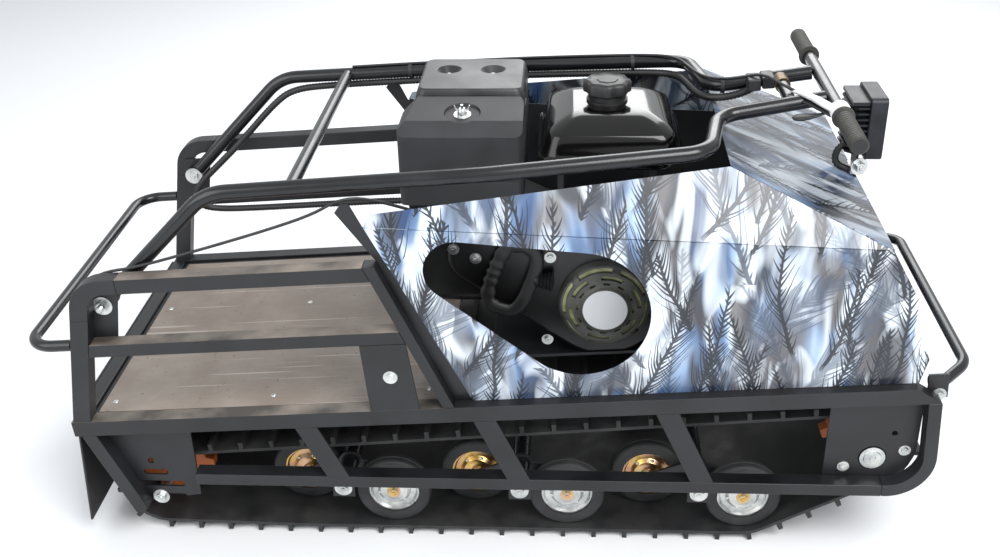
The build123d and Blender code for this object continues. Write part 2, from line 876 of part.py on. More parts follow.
case_rear = 808.0
case_front = 993.0
case_foot = 300.0
case_top = 545.0
tank_floor = 664.0
cylinder_start = 40.0
cylinder_length = 190.0
cylinder_width = 120.0
cylinder_half = 75.0
cylinder_lean = 25.0
tank_post = 12.0
with BuildPart() as engine_case:
    with BuildSketch(floor_level(case_foot)):
        with Locations(((case_rear + case_front) / 2, 0)):
            Rectangle(case_front - case_rear, 2 * case_half)
    extrude(amount=case_top - case_foot)
    with BuildSketch(floor_side(cylinder_half)):
        with Locations(Location((crank_x, crank_z, 0), (0, 0, 180 - cylinder_lean))):
            with Locations((cylinder_start + cylinder_length / 2, 0)):
                Rectangle(cylinder_length, cylinder_width)
    extrude(amount=2 * cylinder_half)
    with BuildSketch(floor_level(case_top)):
        with Locations(((case_rear + case_front) / 2, 0)):
            with GridLocations(
                case_front - case_rear - 2 * tank_post, 2 * case_half - 2 * tank_post, 2, 2
            ):
                Rectangle(tank_post, tank_post)
    extrude(amount=tank_floor - case_top)
    split(bisect_by=deck_level(engine_plate_top), keep=Keep.TOP)
finish(engine_case, "engine_case")

blower_radius = 112.0
blower_depth = 70.0
blower_face = case_half + blower_depth
blower_lobe = (-226.0, 84.0)
blower_lobe_radius = 50.0
with BuildPart() as blower_housing:
    with BuildSketch(floor_side(-case_half)):
        with Locations((crank_x, crank_z)):
            Circle(blower_radius)
            with Locations(blower_lobe):
                Circle(blower_lobe_radius)
        make_hull()
    extrude(amount=blower_depth)
    split(bisect_by=deck_level(engine_plate_top + seat_gap), keep=Keep.TOP)
finish(blower_housing, "blower_housing")

recoil_radius = 82.0
recoil_depth = 27.0
recoil_boss = 41.0
recoil_boss_depth = 6.0
recoil_taper = 14.0
with BuildPart() as recoil_cover:
    with BuildSketch(floor_side(-blower_face)):
        with Locations((crank_x, crank_z)):
            Circle(recoil_radius)
    extrude(amount=recoil_depth, taper=recoil_taper)
    with BuildSketch(floor_side(-blower_face - recoil_depth)):
        with Locations((crank_x, crank_z)):
            Circle(recoil_boss)
    extrude(amount=recoil_boss_depth)
finish(recoil_cover, "recoil_cover")

# Starter handle: a flat D-shaped loop beside the recoil cover, on its rubber neck.
pull_centre = (737.0, 493.0)
pull_length = 146.0
pull_width = 84.0
pull_band = 17.0
pull_depth = 26.0
pull_lean = 20.0
pull_rear_radius = 34.0
pull_front_radius = 14.0
pull_neck_radius = 11.0
pull_neck = 52.0
pull_far = blower_face + seat_gap
pull_seat = Location((pull_centre[0], pull_centre[1], 0), (0, 0, -pull_lean))
pull_y = pull_far + pull_depth / 2
pull_side = pull_centre[0] + (pull_width - pull_band) / 2
with BuildPart() as starter_handle:
    with BuildSketch(floor_side(-pull_far)):
        with Locations(pull_seat):
            RectangleRounded(pull_width, pull_length, pull_rear_radius)
            RectangleRounded(
                pull_width - 2 * pull_band,
                pull_length - 2 * pull_band,
                pull_front_radius,
                mode=Mode.SUBTRACT,
            )
    extrude(amount=pull_depth)
    rod(
        floor_point(pull_side, -pull_y, pull_centre[1]),
        floor_point(pull_side + pull_neck, -pull_y, pull_centre[1]),
        pull_neck_radius,
    )
    add(recoil_cover.part, mode=Mode.SUBTRACT)
finish(starter_handle, "starter_handle")

tank_centre = 905.0
tank_length = 238.0
tank_half = 122.0
tank_ridge = 737.0
tank_top = 760.0
tank_corner = 40.0
tank_edge = 14.0
tank_crown_length = 210.0
tank_crown_half = 108.0
tank_crown_lean = 50.0
tank_flange = 7.0
tank_flange_z = 690.0
tank_flange_height = 8.0
with BuildPart() as fuel_tank:
    with BuildSketch(floor_level(tank_floor)):
        with Locations((tank_centre, 0)):
            RectangleRounded(tank_length, 2 * tank_half, tank_corner)
    extrude(amount=tank_ridge - tank_floor)
    chamfer(fuel_tank.faces().sort_by(Axis.Z)[-1].edges(), tank_edge)
    with BuildSketch(floor_level(tank_ridge)):
        with Locations((tank_centre, 0)):
            RectangleRounded(tank_crown_length, 2 * tank_crown_half, tank_corner - tank_edge)
    extrude(amount=tank_top - tank_ridge, taper=tank_crown_lean)
    with BuildSketch(floor_level(tank_flange_z)):
        with Locations((tank_centre, 0)):
            RectangleRounded(
                tank_length + 2 * tank_flange, 2 * (tank_half + tank_flange), tank_corner + tank_flange
            )
    extrude(amount=tank_flange_height)
finish(fuel_tank, "fuel_tank")

cap_x = 900.0
cap_radius = 42.0
cap_collar_radius = 35.0
cap_collar_height = 17.0
cap_height = 39.0
with BuildPart() as tank_cap:
    with BuildSketch(floor_level(tank_top)):
        with Locations((cap_x, 0)):
            Circle(cap_collar_radius)
    extrude(amount=cap_height)
    with BuildSketch(floor_level(tank_top + cap_collar_height)):
        with Locations((cap_x, 0)):
            Circle(cap_radius)
    extrude(amount=cap_height - cap_collar_height)
finish(tank_cap, "tank_cap")

# Air cleaner and muffler guard, one beside the other above the cylinder.
cleaner_rear = 540.0
cleaner_front = 757.0
cleaner_near = 122.0
cleaner_far = 12.0
cleaner_floor = 609.0
cleaner_shoulder = 735.0
cleaner_ledge = 17.0
cleaner_top = 772.0
cleaner_cut = 28.0
cleaner_corner = 14.0
with BuildPart() as air_cleaner:
    with BuildSketch(floor_facing(cleaner_rear)):
        with BuildLine():
            Polyline(
                (-cleaner_near, cleaner_floor),
                (-cleaner_far, cleaner_floor),
                (-cleaner_far, cleaner_top),
                (-cleaner_near + cleaner_ledge, cleaner_shoulder + cleaner_ledge),
                (-cleaner_near, cleaner_shoulder),
                close=True,
            )
        make_face()
    extrude(amount=cleaner_front - cleaner_rear)
    with BuildSketch(floor_side(cleaner_near)):
        with BuildLine():
            Polyline(
                (cleaner_rear, cleaner_floor),
                (cleaner_front, cleaner_floor),
                (cleaner_front, cleaner_top),
                (cleaner_rear + cleaner_cut, cleaner_top),
                (cleaner_rear, cleaner_top - cleaner_cut),
                close=True,
            )
        make_face()
    extrude(amount=2 * cleaner_near, mode=Mode.INTERSECT)
finish(air_cleaner, "air_cleaner")

muffler_rear = 560.0
muffler_front = 757.0
muffler_near = -4.0
muffler_far = 174.0
muffler_floor = 622.0
muffler_top = 779.0
with BuildPart() as muffler_guard:
    with BuildSketch(floor_level(muffler_floor)):
        with Locations(((muffler_rear + muffler_front) / 2, (muffler_near + muffler_far) / 2)):
            RectangleRounded(muffler_front - muffler_rear, muffler_far - muffler_near, cleaner_corner)
    extrude(amount=muffler_top - muffler_floor)
finish(muffler_guard, "muffler_guard")

# Intake box and exhaust box that carry the two on the cylinder head.
duct_rear = 665.0
duct_front = 712.0
duct_gap = 14.0
duct_foot = 560.0
with BuildPart() as engine_ducts:
    with BuildSketch(floor_level(cleaner_floor)):
        with Locations(((duct_rear + duct_front) / 2, -(cylinder_half + duct_gap) / 2)):
            Rectangle(duct_front - duct_rear, cylinder_half - duct_gap)
    extrude(amount=duct_foot - cleaner_floor)
    with BuildSketch(floor_level(muffler_floor)):
        with Locations(((duct_rear + duct_front) / 2, (cylinder_half + duct_gap) / 2)):
            Rectangle(duct_front - duct_rear, cylinder_half - duct_gap)
    extrude(amount=duct_foot - muffler_floor)
    add(engine_case.part, mode=Mode.SUBTRACT)
finish(engine_ducts, "engine_ducts")

# Hood: two side sheets, the right one with a teardrop opening, a sloping top and a folded front.
hood_inset = 20.0
hood_half = half_width - hood_inset
hood_rear_x = 548.0
hood_rear_z = 620.0
hood_nose_x = 1381.0
hood_nose_z = 532.0
hood_foot_rear_x = 692.0
hood_foot_front_x = 1439.0
hood_foot_z = beam_top + seat_gap
hood_brow_x = 1427.0
hood_brow_z = 440.0
hood_step_x = 1425.0
hood_step_z = 403.0
hood_chin_x = 1452.0
hood_chin_z = 327.0
hood_ridge_x = 1133.0
hood_ridge_z = 665.0
hood_ridge_inset = 62.0
hood_ridge_half = hood_half - hood_ridge_inset
hood_tail_x = 556.0
drop_small = (688.0, 533.0)
drop_small_radius = 54.0
drop_large = (885.0, 441.0)
drop_large_radius = 115.0
hood_outline = [
    (hood_rear_x, hood_rear_z),
    (hood_foot_rear_x, hood_foot_z),
    (hood_foot_front_x, hood_foot_z),
    (hood_chin_x, hood_chin_z),
    (hood_step_x, hood_step_z),
    (hood_brow_x, hood_brow_z),
    (hood_nose_x, hood_nose_z),
]
with BuildPart() as hood_sides:
    with BuildSketch(deck_side(-hood_half + sheet)):
        with BuildLine():
            Polyline(*hood_outline, close=True)
        make_face()
        with BuildSketch(mode=Mode.PRIVATE) as drop:
            with Locations(drop_small):
                Circle(drop_small_radius)
            with Locations(drop_large):
                Circle(drop_large_radius)
            make_hull()
        add(drop.sketch, mode=Mode.SUBTRACT)
    extrude(amount=sheet)
    with BuildSketch(deck_side(hood_half)):
        with BuildLine():
            Polyline(*hood_outline, close=True)
        make_face()
    extrude(amount=sheet)
finish(hood_sides, "hood_sides")

# Leaning upper strips of the sides, square sheets on their own planes.
strip_start = deck_point(hood_rear_x, -hood_half, hood_rear_z)
strip_end = deck_point(hood_nose_x, -hood_half, hood_nose_z)
strip_ridge = deck_point(hood_ridge_x, -hood_ridge_half, hood_ridge_z)
strip_normal = (strip_end - strip_start).cross(strip_ridge - strip_start).normalized()
strip_plane = Plane(origin=strip_start, x_dir=strip_end - strip_start, z_dir=strip_normal)
ridge_local = strip_plane.to_local_coords(strip_ridge)
strip_length = (strip_end - strip_start).length
strip_seam = 1.3
seam_share = strip_seam / ridge_local.Y
strip_tail_x = 8.0
strip_tail_rise = 22.0
with BuildPart() as hood_strips:
    with BuildSketch(strip_plane):
        with BuildLine():
            Polyline(
                (0, strip_seam),
                (strip_length + seam_share * (ridge_local.X - strip_length), strip_seam),
                (ridge_local.X, ridge_local.Y),
                (strip_tail_x, strip_tail_rise),
                close=True,
            )
        make_face()
    extrude(amount=-sheet)
    mirror(about=Plane.XZ)
finish(hood_strips, "hood_strips")

# Sloping top sheet between the ridge and the nose.
top_slope = deck_point(hood_nose_x, 0, hood_nose_z) - deck_point(hood_ridge_x, 0, hood_ridge_z)
top_plane = Plane(
    origin=deck_point(hood_ridge_x, 0, hood_ridge_z),
    x_dir=top_slope,
    z_dir=top_slope.cross(Vector(0, 1, 0)),
)
with BuildPart() as hood_top:
    with BuildSketch(top_plane):
        with BuildLine():
            Polyline(
                (0, -hood_ridge_half),
                (0, hood_ridge_half),
                (top_slope.length, hood_half),
                (top_slope.length, -hood_half),
                close=True,
            )
        make_face()
    extrude(amount=sheet)
finish(hood_top, "hood_top")

# Folded front sheet between the sides.
front_half = hood_half - sheet - seat_gap
front_inset = 6.0
with BuildPart() as hood_front:
    with BuildSketch(deck_side(front_half)):
        with BuildLine():
            Polyline(
                (hood_nose_x - front_inset, hood_nose_z - front_inset),
                (hood_brow_x - front_inset, hood_brow_z),
                (hood_brow_x - front_inset, hood_foot_z),
            )
        trace(line_width=sheet)
    extrude(amount=2 * front_half)
finish(hood_front, "hood_front")

# Struts between the deck rails and the rear edges of the hood sides.
strut_lap = 12.0
strut_rise = 104.0
strut_head = rail_top + strut_rise
strut_head_x = 505.0
strut_head_width = 24.0
strut_head_drop = 15.0
strut_front_x = hood_foot_rear_x + strut_lap
strut_bend_x = hood_rear_x + strut_lap


def strut_face(z):
    """Rear edge of a strut, just ahead of the slanted member."""
    return slant_face(z) + slant_width + seat_gap


with BuildPart() as hood_struts:
    with BuildSketch(deck_side(-hood_half + sheet + plate)):
        with BuildLine():
            Polyline(
                (strut_face(hood_foot_z), hood_foot_z),
                (strut_front_x, hood_foot_z),
                (strut_bend_x + strut_lap * slant_shift, hood_rear_z - strut_lap),
                (hood_rear_x - sheet, hood_rear_z),
                (strut_head_x + strut_head_width, strut_head),
                (strut_head_x + strut_head_width / 2, strut_head),
                (strut_head_x, strut_head - strut_head_drop),
                (strut_face(rail_top), rail_top),
                close=True,
            )
        make_face()
    extrude(amount=plate - seat_gap)
    mirror(about=Plane.XZ)
finish(hood_struts, "hood_struts")

# Handle: two side tubes on eyes, bent inwards to a narrow neck.
eye_half = handle_radius
bore_lap = 2.0
with BuildPart() as handle_tubes:
    bent_tube(
        [
            deck_point(pivot_x, -pivot_y, pivot_z),
            deck_point(handle_bend_x, -handle_bend_y, handle_height),
            deck_point(handle_waist_x, -handle_waist_y, handle_height),
            deck_point(neck_start_x, -neck_start_y, handle_height),
            deck_point(neck_bend_x, -neck_bend_y, handle_height),
            deck_point(neck_end_x, -neck_end_y, grip_bar_z),
        ],
        [90.0, 900.0, 50.0, 45.0],
        handle_radius,
    )
    rod(
        deck_point(pivot_x, -pivot_y - eye_half, pivot_z),
        deck_point(pivot_x, -pivot_y + eye_half, pivot_z),
        handle_eye_radius,
    )
    with BuildSketch(deck_side(-pivot_y + eye_half + bore_lap)):
        with Locations((pivot_x, pivot_z)):
            Circle(pivot_bolt_radius + pivot_clearance)
    extrude(amount=2 * (eye_half + bore_lap), mode=Mode.SUBTRACT)
    mirror(about=Plane.XZ)
finish(handle_tubes, "handle_tubes")

handle_cross_x = 436.0
handle_cross_radius = 11.0
neck_cross_x = 1253.0


def side_tube_y(x):
    """Distance of a side tube from the centre plane at x."""
    share = (x - handle_bend_x) / (handle_waist_x - handle_bend_x)
    return handle_bend_y + (handle_waist_y - handle_bend_y) * share


cross_half = side_tube_y(handle_cross_x)
neck_share = (neck_cross_x - neck_bend_x) / (neck_end_x - neck_bend_x)
neck_cross_half = neck_bend_y + (neck_end_y - neck_bend_y) * neck_share
neck_cross_z = handle_height + grip_bar_step * neck_share
with BuildPart() as handle_cross_tubes:
    rod(
        deck_point(handle_cross_x, -cross_half, handle_height),
        deck_point(handle_cross_x, cross_half, handle_height),
        handle_cross_radius,
    )
    rod(
        deck_point(neck_cross_x, -neck_cross_half, neck_cross_z),
        deck_point(neck_cross_x, neck_cross_half, neck_cross_z),
        handle_cross_radius,
    )
    add(handle_tubes.part, mode=Mode.SUBTRACT)
finish(handle_cross_tubes, "handle_cross_tubes")

with BuildPart() as grip_bar:
    rod(
        deck_point(grip_bar_x, -grip_bar_half, grip_bar_z),
        deck_point(grip_bar_x, grip_bar_half, grip_bar_z),
        grip_bar_radius,
    )
finish(grip_bar, "grip_bar")

with BuildPart() as grips:
    with BuildSketch(deck_side(-grip_bar_half + grip_length)):
        with Locations((grip_bar_x, grip_bar_z)):
            Circle(grip_radius)
            Circle(grip_bar_radius + running_gap, mode=Mode.SUBTRACT)
    extrude(amount=grip_length)
    mirror(about=Plane.XZ)
finish(grips, "grips")

# Pivot bolts through bracket and eye, nut and thread outside.
bolt_head_radius = 10.5
bolt_head_height = 7.0
nut_height = 10.0
thread_end = 9.0


def hexagon(y, height):
    """A hexagon on the pivot axis, from y towards the right."""
    with BuildSketch(deck_side(y)) as outline:
        with Locations((pivot_x, pivot_z)):
            RegularPolygon(bolt_head_radius, 6)
    extrude(outline.sketch, amount=height)


bolt_inner_y = pivot_y - eye_half - seat_gap
bolt_outer_y = inner_face + seat_gap
with BuildPart() as pivot_bolts:
    rod(
        deck_point(pivot_x, -bolt_outer_y - nut_height - thread_end, pivot_z),
        deck_point(pivot_x, -bolt_inner_y + bolt_head_height, pivot_z),
        pivot_bolt_radius,
    )
    hexagon(-bolt_outer_y, nut_height)
    hexagon(-bolt_inner_y + bolt_head_height, bolt_head_height)
    mirror(about=Plane.XZ)
finish(pivot_bolts, "pivot_bolts")

# Work lamp on the hood's front edge, upright.
lamp_front = 1374.5
lamp_bezel = 30.0
lamp_body = 32.0
lamp_half = 50.0
lamp_floor = 665.0
lamp_top = 777.0
lamp_corner = 8.0
lamp_inset = 8.0
with BuildPart() as work_lamp:
    with BuildSketch(floor_facing(lamp_front)):
        with Locations((0, (lamp_floor + lamp_top) / 2)):
            RectangleRounded(2 * lamp_half, lamp_top - lamp_floor, lamp_corner)
    extrude(amount=-lamp_bezel)
    with BuildSketch(floor_facing(lamp_front - lamp_bezel)):
        with Locations((0, (lamp_floor + lamp_top) / 2)):
            Rectangle(2 * (lamp_half - lamp_inset), lamp_top - lamp_floor - 2 * lamp_inset)
    extrude(amount=-lamp_body)
finish(work_lamp, "work_lamp")

bracket_half = 20.0
bracket_x = lamp_front - lamp_bezel - plate
bracket_head_z = lamp_floor + lamp_inset - seat_gap
with BuildPart() as lamp_bracket:
    with BuildSketch(floor_side(bracket_half)):
        with BuildLine():
            Line((bracket_x, hood_brow_z), (bracket_x, bracket_head_z))
        trace(line_width=plate)
    extrude(amount=2 * bracket_half)
    split(bisect_by=top_plane.offset(sheet), keep=Keep.TOP)
finish(lamp_bracket, "lamp_bracket")
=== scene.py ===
"""Dresses the packed snow tug. Pieces are modelled in millimetres, in the pitched frame
of the upper structure or level with the floor, and placed in metres."""

import json
import math

import bmesh
import bpy
from bpy.props import FloatProperty, FloatVectorProperty, IntProperty, PointerProperty
from bpy.types import Operator, Panel, PropertyGroup
from mathutils import Matrix, Vector


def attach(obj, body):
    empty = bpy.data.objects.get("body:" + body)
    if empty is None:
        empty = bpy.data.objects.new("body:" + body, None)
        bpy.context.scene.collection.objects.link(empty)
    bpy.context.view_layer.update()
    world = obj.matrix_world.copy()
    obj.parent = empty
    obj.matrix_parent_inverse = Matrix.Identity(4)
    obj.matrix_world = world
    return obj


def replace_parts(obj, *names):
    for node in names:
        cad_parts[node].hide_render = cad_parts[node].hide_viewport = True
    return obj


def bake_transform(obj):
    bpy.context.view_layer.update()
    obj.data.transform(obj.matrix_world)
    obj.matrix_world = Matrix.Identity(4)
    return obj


bl_info = {
    "name": "Snow Tug",
    "version": (1, 0, 0),
    "blender": (4, 5, 0),
    "location": "View3D > Sidebar > Snow Tug",
    "description": "Dresses a tracked snow tug with its finishes and fittings",
    "category": "Object",
}

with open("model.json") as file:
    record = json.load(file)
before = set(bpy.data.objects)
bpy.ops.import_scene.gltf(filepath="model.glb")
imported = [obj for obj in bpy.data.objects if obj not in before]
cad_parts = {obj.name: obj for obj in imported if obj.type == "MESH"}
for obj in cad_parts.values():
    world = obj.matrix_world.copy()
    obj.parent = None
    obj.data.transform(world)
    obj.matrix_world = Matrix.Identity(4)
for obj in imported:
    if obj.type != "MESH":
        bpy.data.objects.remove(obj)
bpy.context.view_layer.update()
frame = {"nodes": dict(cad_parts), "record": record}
NODES = frame["nodes"]

# The pitch of the upper frame, and x and z of the bumper tubes that end the overall length.
PITCH = math.radians(3.6)
REAR_BUMPER = (-60, 431)
FRONT_BUMPER = (1533, 275)
BUMPER_RADIUS = 10
REAR_REACH = REAR_BUMPER[0] * math.cos(PITCH) - REAR_BUMPER[1] * math.sin(PITCH) - BUMPER_RADIUS
FRONT_REACH = FRONT_BUMPER[0] * math.cos(PITCH) - FRONT_BUMPER[1] * math.sin(PITCH) + BUMPER_RADIUS
MILLIMETRES = Matrix.Scale(0.001, 4)
ON_FLOOR = MILLIMETRES @ Matrix.Translation((-(REAR_REACH + FRONT_REACH) / 2, 0, 0))
ON_DECK = ON_FLOOR @ Matrix.Rotation(-PITCH, 4, "Y")


def linear(code):
    """The linear colour of an sRGB hex code."""
    shares = [int(code[i : i + 2], 16) / 255 for i in (1, 3, 5)]
    return [s / 12.92 if s <= 0.04045 else ((s + 0.055) / 1.055) ** 2.4 for s in shares] + [1.0]


def scaled(colour, factor, lift=0.0):
    """A linear colour made lighter or darker."""
    return [min(1, c * factor + lift) for c in colour[:3]] + [1]


# Settings.


def colour_setting(name, description, code):
    """A colour that a user can change."""
    return FloatVectorProperty(
        name=name, description=description, subtype="COLOR", size=4, min=0, max=1, default=linear(code)
    )


class TugColours(PropertyGroup):
    """Colours of the finishes."""

    frame_coat: colour_setting("Frame coat", "Powder coat on the frames and the handle", "#101114")
    deck_film: colour_setting("Deck film", "Brown film on the plywood deck", "#786D64")
    sprocket: colour_setting("Sprocket", "Cast polyurethane of the sprockets", "#B8622A")


class TugSizes(PropertyGroup):
    """Sizes of the small forms."""

    edge_round: FloatProperty(
        name="Edge rounding",
        description="Rounding of the steel members' edges",
        subtype="DISTANCE",
        unit="LENGTH",
        default=0.0016,
        min=0.0002,
        max=0.004,
    )
    grip_ribs: IntProperty(
        name="Grip ribs",
        description="Ribs on each rubber grip",
        default=13,
        min=3,
        max=30,
    )
    lamp_fins: IntProperty(
        name="Lamp fins",
        description="Cooling fins on the back of the work lamp",
        default=9,
        min=3,
        max=16,
    )


# Materials. Scales are patterns to the metre, depths are metres.

SKIN_DEPTH = 0.0006
FILM_GRAIN_DEPTH = 0.0005


def add_node(tree, kind, inputs=None, **settings):
    """Add a node; each input is a value or the socket that feeds it."""
    node = tree.nodes.new(kind)
    for name, value in settings.items():
        setattr(node, name, value)
    for name, value in (inputs or {}).items():
        if isinstance(value, bpy.types.NodeSocket):
            tree.links.new(value, node.inputs[name])
        else:
            node.inputs[name].default_value = value
    return node


def new_finish(name, inputs):
    """A material with one shader, its tree, its shader and its object coordinates."""
    material = bpy.data.materials.new(name)
    material.use_nodes = True
    tree = material.node_tree
    shader = tree.nodes["Principled BSDF"]
    for socket, value in inputs.items():
        shader.inputs[socket].default_value = value
    place = add_node(tree, "ShaderNodeTexCoord").outputs["Object"]
    return material, tree, shader, place


def mottle(tree, place, shader, colours, scale, roughness, bump, grain):
    """Colour, gloss and height that drift over the surface by two noises, a broad one of
    scale and a fine one of grain. Roughness is its least and its most."""
    drift = add_node(tree, "ShaderNodeTexNoise", {"Vector": place, "Scale": scale, "Detail": 6.0})
    tint = add_node(tree, "ShaderNodeValToRGB", {"Fac": drift.outputs["Fac"]})
    for element, position, colour in zip(tint.color_ramp.elements, (0.34, 0.66), colours):
        element.position = position
        element.color = linear(colour) if isinstance(colour, str) else colour
    tree.links.new(tint.outputs["Color"], shader.inputs["Base Color"])
    gloss = ramped(tree, drift.outputs["Fac"], 0.3, 0.7, *roughness)
    tree.links.new(gloss, shader.inputs["Roughness"])
    skin = add_node(tree, "ShaderNodeTexNoise", {"Vector": place, "Scale": grain, "Detail": 3.0})
    height = add_node(
        tree, "ShaderNodeBump", {"Height": skin.outputs["Fac"], "Strength": bump, "Distance": SKIN_DEPTH}
    )
    tree.links.new(height.outputs["Normal"], shader.inputs["Normal"])


def mottled(name, inputs, *look):
    """A finish of one shader with its mottle."""
    material, tree, shader, place = new_finish(name, inputs)
    mottle(tree, place, shader, *look)
    return material


def powder_coat(name="satin powder coat"):
    """Black polyester powder on steel: a soft satin with a fine orange peel."""
    tint = bpy.context.scene.tug_colours.frame_coat
    colours = (tint, scaled(tint, 1.9, 0.004))
    return mottled(name, {"IOR": 1.5}, colours, 9.0, (0.34, 0.5), 0.12, 650.0)


def dusty_coat(name="dusty powder coat"):
    """Dried snow melt and grit on the top faces beside the deck, on the recoil side."""
    tint = bpy.context.scene.tug_colours.frame_coat
    material, tree, shader, place = new_finish(name, {"IOR": 1.5})
    mottle(tree, place, shader, ("#39342F", "#857B71"), 12.0, (0.45, 0.65), 0.2, 600.0)
    dirt = shader.inputs["Base Color"].links[0].from_socket
    spot = add_node(tree, "ShaderNodeSeparateXYZ", {0: place}).outputs
    # The dirt fades out where the hood begins, and from the centre plane to the left.
    ahead = ramped(tree, spot[0], -0.12, -0.08, 0.0, 1.0)
    left = ramped(tree, spot[1], 0.0, 0.1, 0.0, 1.0)
    clean = maths(tree, "MAXIMUM", ahead, left)
    tree.links.new(blended(tree, clean, dirt, tint), shader.inputs["Base Color"])
    return material


def gloss_tube_coat(name="gloss powder coat"):
    """The handle's coat: smoother than the frame's, so it shows long soft highlights."""
    tint = bpy.context.scene.tug_colours.frame_coat
    colours = (tint, scaled(tint, 1.5, 0.001))
    return mottled(name, {"IOR": 1.5}, colours, 14.0, (0.18, 0.3), 0.06, 420.0)


def stamped_black_steel(name="stamped black enamel"):
    """Baked enamel on the muffler guard, mottled between two dark greys."""
    return mottled(name, {"IOR": 1.5}, ("#1D1E1F", "#333436"), 16.0, (0.36, 0.5), 0.15, 500.0)


def moulded_plastic(name="moulded polypropylene"):
    """Spark-eroded matt texture of an air cleaner cover."""
    return mottled(name, {"IOR": 1.49}, ("#1F2022", "#2C2D30"), 12.0, (0.5, 0.62), 0.35, 900.0)


def cowl_enamel(name="black cowl enamel"):
    """Stoved black enamel on the blower housing and the shroud behind it."""
    return mottled(name, {"IOR": 1.5}, ("#0A0A0B", "#171718"), 14.0, (0.28, 0.42), 0.08, 420.0)


def tank_enamel(name="gloss black enamel"):
    """Stove enamel on a pressed fuel tank: a deep black mirror with faint ripples."""
    inputs = {"IOR": 1.45, "Specular IOR Level": 0.3, "Coat Weight": 0.3, "Coat Roughness": 0.03}
    return mottled(name, inputs, ("#050505", "#0B0A0A"), 7.0, (0.1, 0.18), 0.03, 60.0)


def track_rubber(name="moulded track rubber"):
    """Carbon-black rubber, dulled by dirt between the lugs."""
    return mottled(name, {"IOR": 1.52}, ("#1B1C1E", "#323232"), 24.0, (0.6, 0.8), 0.5, 260.0)


def grip_rubber(name="ribbed grip rubber"):
    """Softer rubber of the grips with an olive cast where hands and salt dulled it."""
    return mottled(name, {"IOR": 1.52}, ("#242422", "#383731"), 30.0, (0.6, 0.75), 0.3, 700.0)


def clear_zinc(name="clear zinc plate"):
    """Bright zinc on rollers and bolts: blue-grey, with a soft cloudy gloss."""
    return mottled(name, {"Metallic": 1.0}, ("#AEB2B3", "#DFE0DC"), 45.0, (0.25, 0.45), 0.1, 300.0)


def yellow_zinc(name="yellow chromate zinc"):
    """Yellow passivated zinc, which drifts from straw to rose and green."""
    material, tree, shader, place = new_finish(name, {"Metallic": 1.0, "Roughness": 0.32})
    drift = add_node(tree, "ShaderNodeTexNoise", {"Vector": place, "Scale": 38.0, "Detail": 3.0})
    tint = add_node(tree, "ShaderNodeValToRGB", {"Fac": drift.outputs["Fac"]})
    fill_ramp(tint.color_ramp, [(0.3, "#B88A4C"), (0.45, "#DDBB6E"), (0.57, "#D9A98E"), (0.7, "#B7B27A")])
    tree.links.new(tint.outputs["Color"], shader.inputs["Base Color"])
    return material


def dull_bronze(name="oiled bronze bush"):
    """A sintered bronze bush, dark with oil."""
    return mottled(name, {"Metallic": 0.85}, ("#4E4230", "#77664A"), 40.0, (0.35, 0.5), 0.08, 500.0)


def polyurethane(name="cast polyurethane"):
    """Orange urethane: waxy, with light that sinks in a little."""
    tint = bpy.context.scene.tug_colours.sprocket
    inputs = {"IOR": 1.5, "Subsurface Weight": 0.15, "Subsurface Scale": 0.004}
    return mottled(name, inputs, (tint, scaled(tint, 0.72)), 25.0, (0.35, 0.5), 0.1, 300.0)


def cast_aluminium(name="die-cast aluminium"):
    """Engine castings sprayed dark, with a sandy skin."""
    return mottled(name, {"Metallic": 0.6}, ("#26272A", "#3C3D40"), 30.0, (0.45, 0.6), 0.4, 500.0)


def white_casting(name="white painted casting"):
    """The brake lever's perch: thin white paint over an alloy casting."""
    return mottled(name, {"IOR": 1.5}, ("#D9DADA", "#F2F2F0"), 30.0, (0.35, 0.5), 0.2, 300.0)


def black_nylon(name="black nylon"):
    """Cable covers, corrugated conduit, switch boxes and the starter grip."""
    return mottled(name, {"IOR": 1.53}, ("#131314", "#232324"), 30.0, (0.42, 0.55), 0.2, 500.0)


def recoil_paint(name="grey recoil enamel"):
    """The pressed recoil cover's dark grey enamel."""
    return mottled(name, {"IOR": 1.5}, ("#444542", "#5A5B54"), 26.0, (0.35, 0.5), 0.15, 500.0)


def anodised_fins(name="black anodised aluminium"):
    """The lamp's housing: deep black with a dry metallic gleam."""
    return mottled(name, {"Metallic": 0.4}, ("#17181C", "#2A2B31"), 30.0, (0.38, 0.5), 0.15, 700.0)


def lamp_glass(name="lamp glass"):
    """Toughened front glass over the reflectors."""
    return new_finish(
        name,
        {"Base Color": linear("#DCE2E6"), "Roughness": 0.06, "IOR": 1.5, "Metallic": 0.3, "Coat Weight": 1.0},
    )[0]


def bare_label(name="bare label disc"):
    """The place of the starter's label, left plain."""
    return new_finish(name, {"Base Color": linear("#E2E4E6"), "Roughness": 0.32})[0]


def screen_mesh(name="fan screen"):
    """Pale greenish plastic screen behind the recoil cover's slots."""
    return mottled(name, {"IOR": 1.5}, ("#8D9062", "#C9CB9C"), 60.0, (0.4, 0.6), 0.2, 300.0)


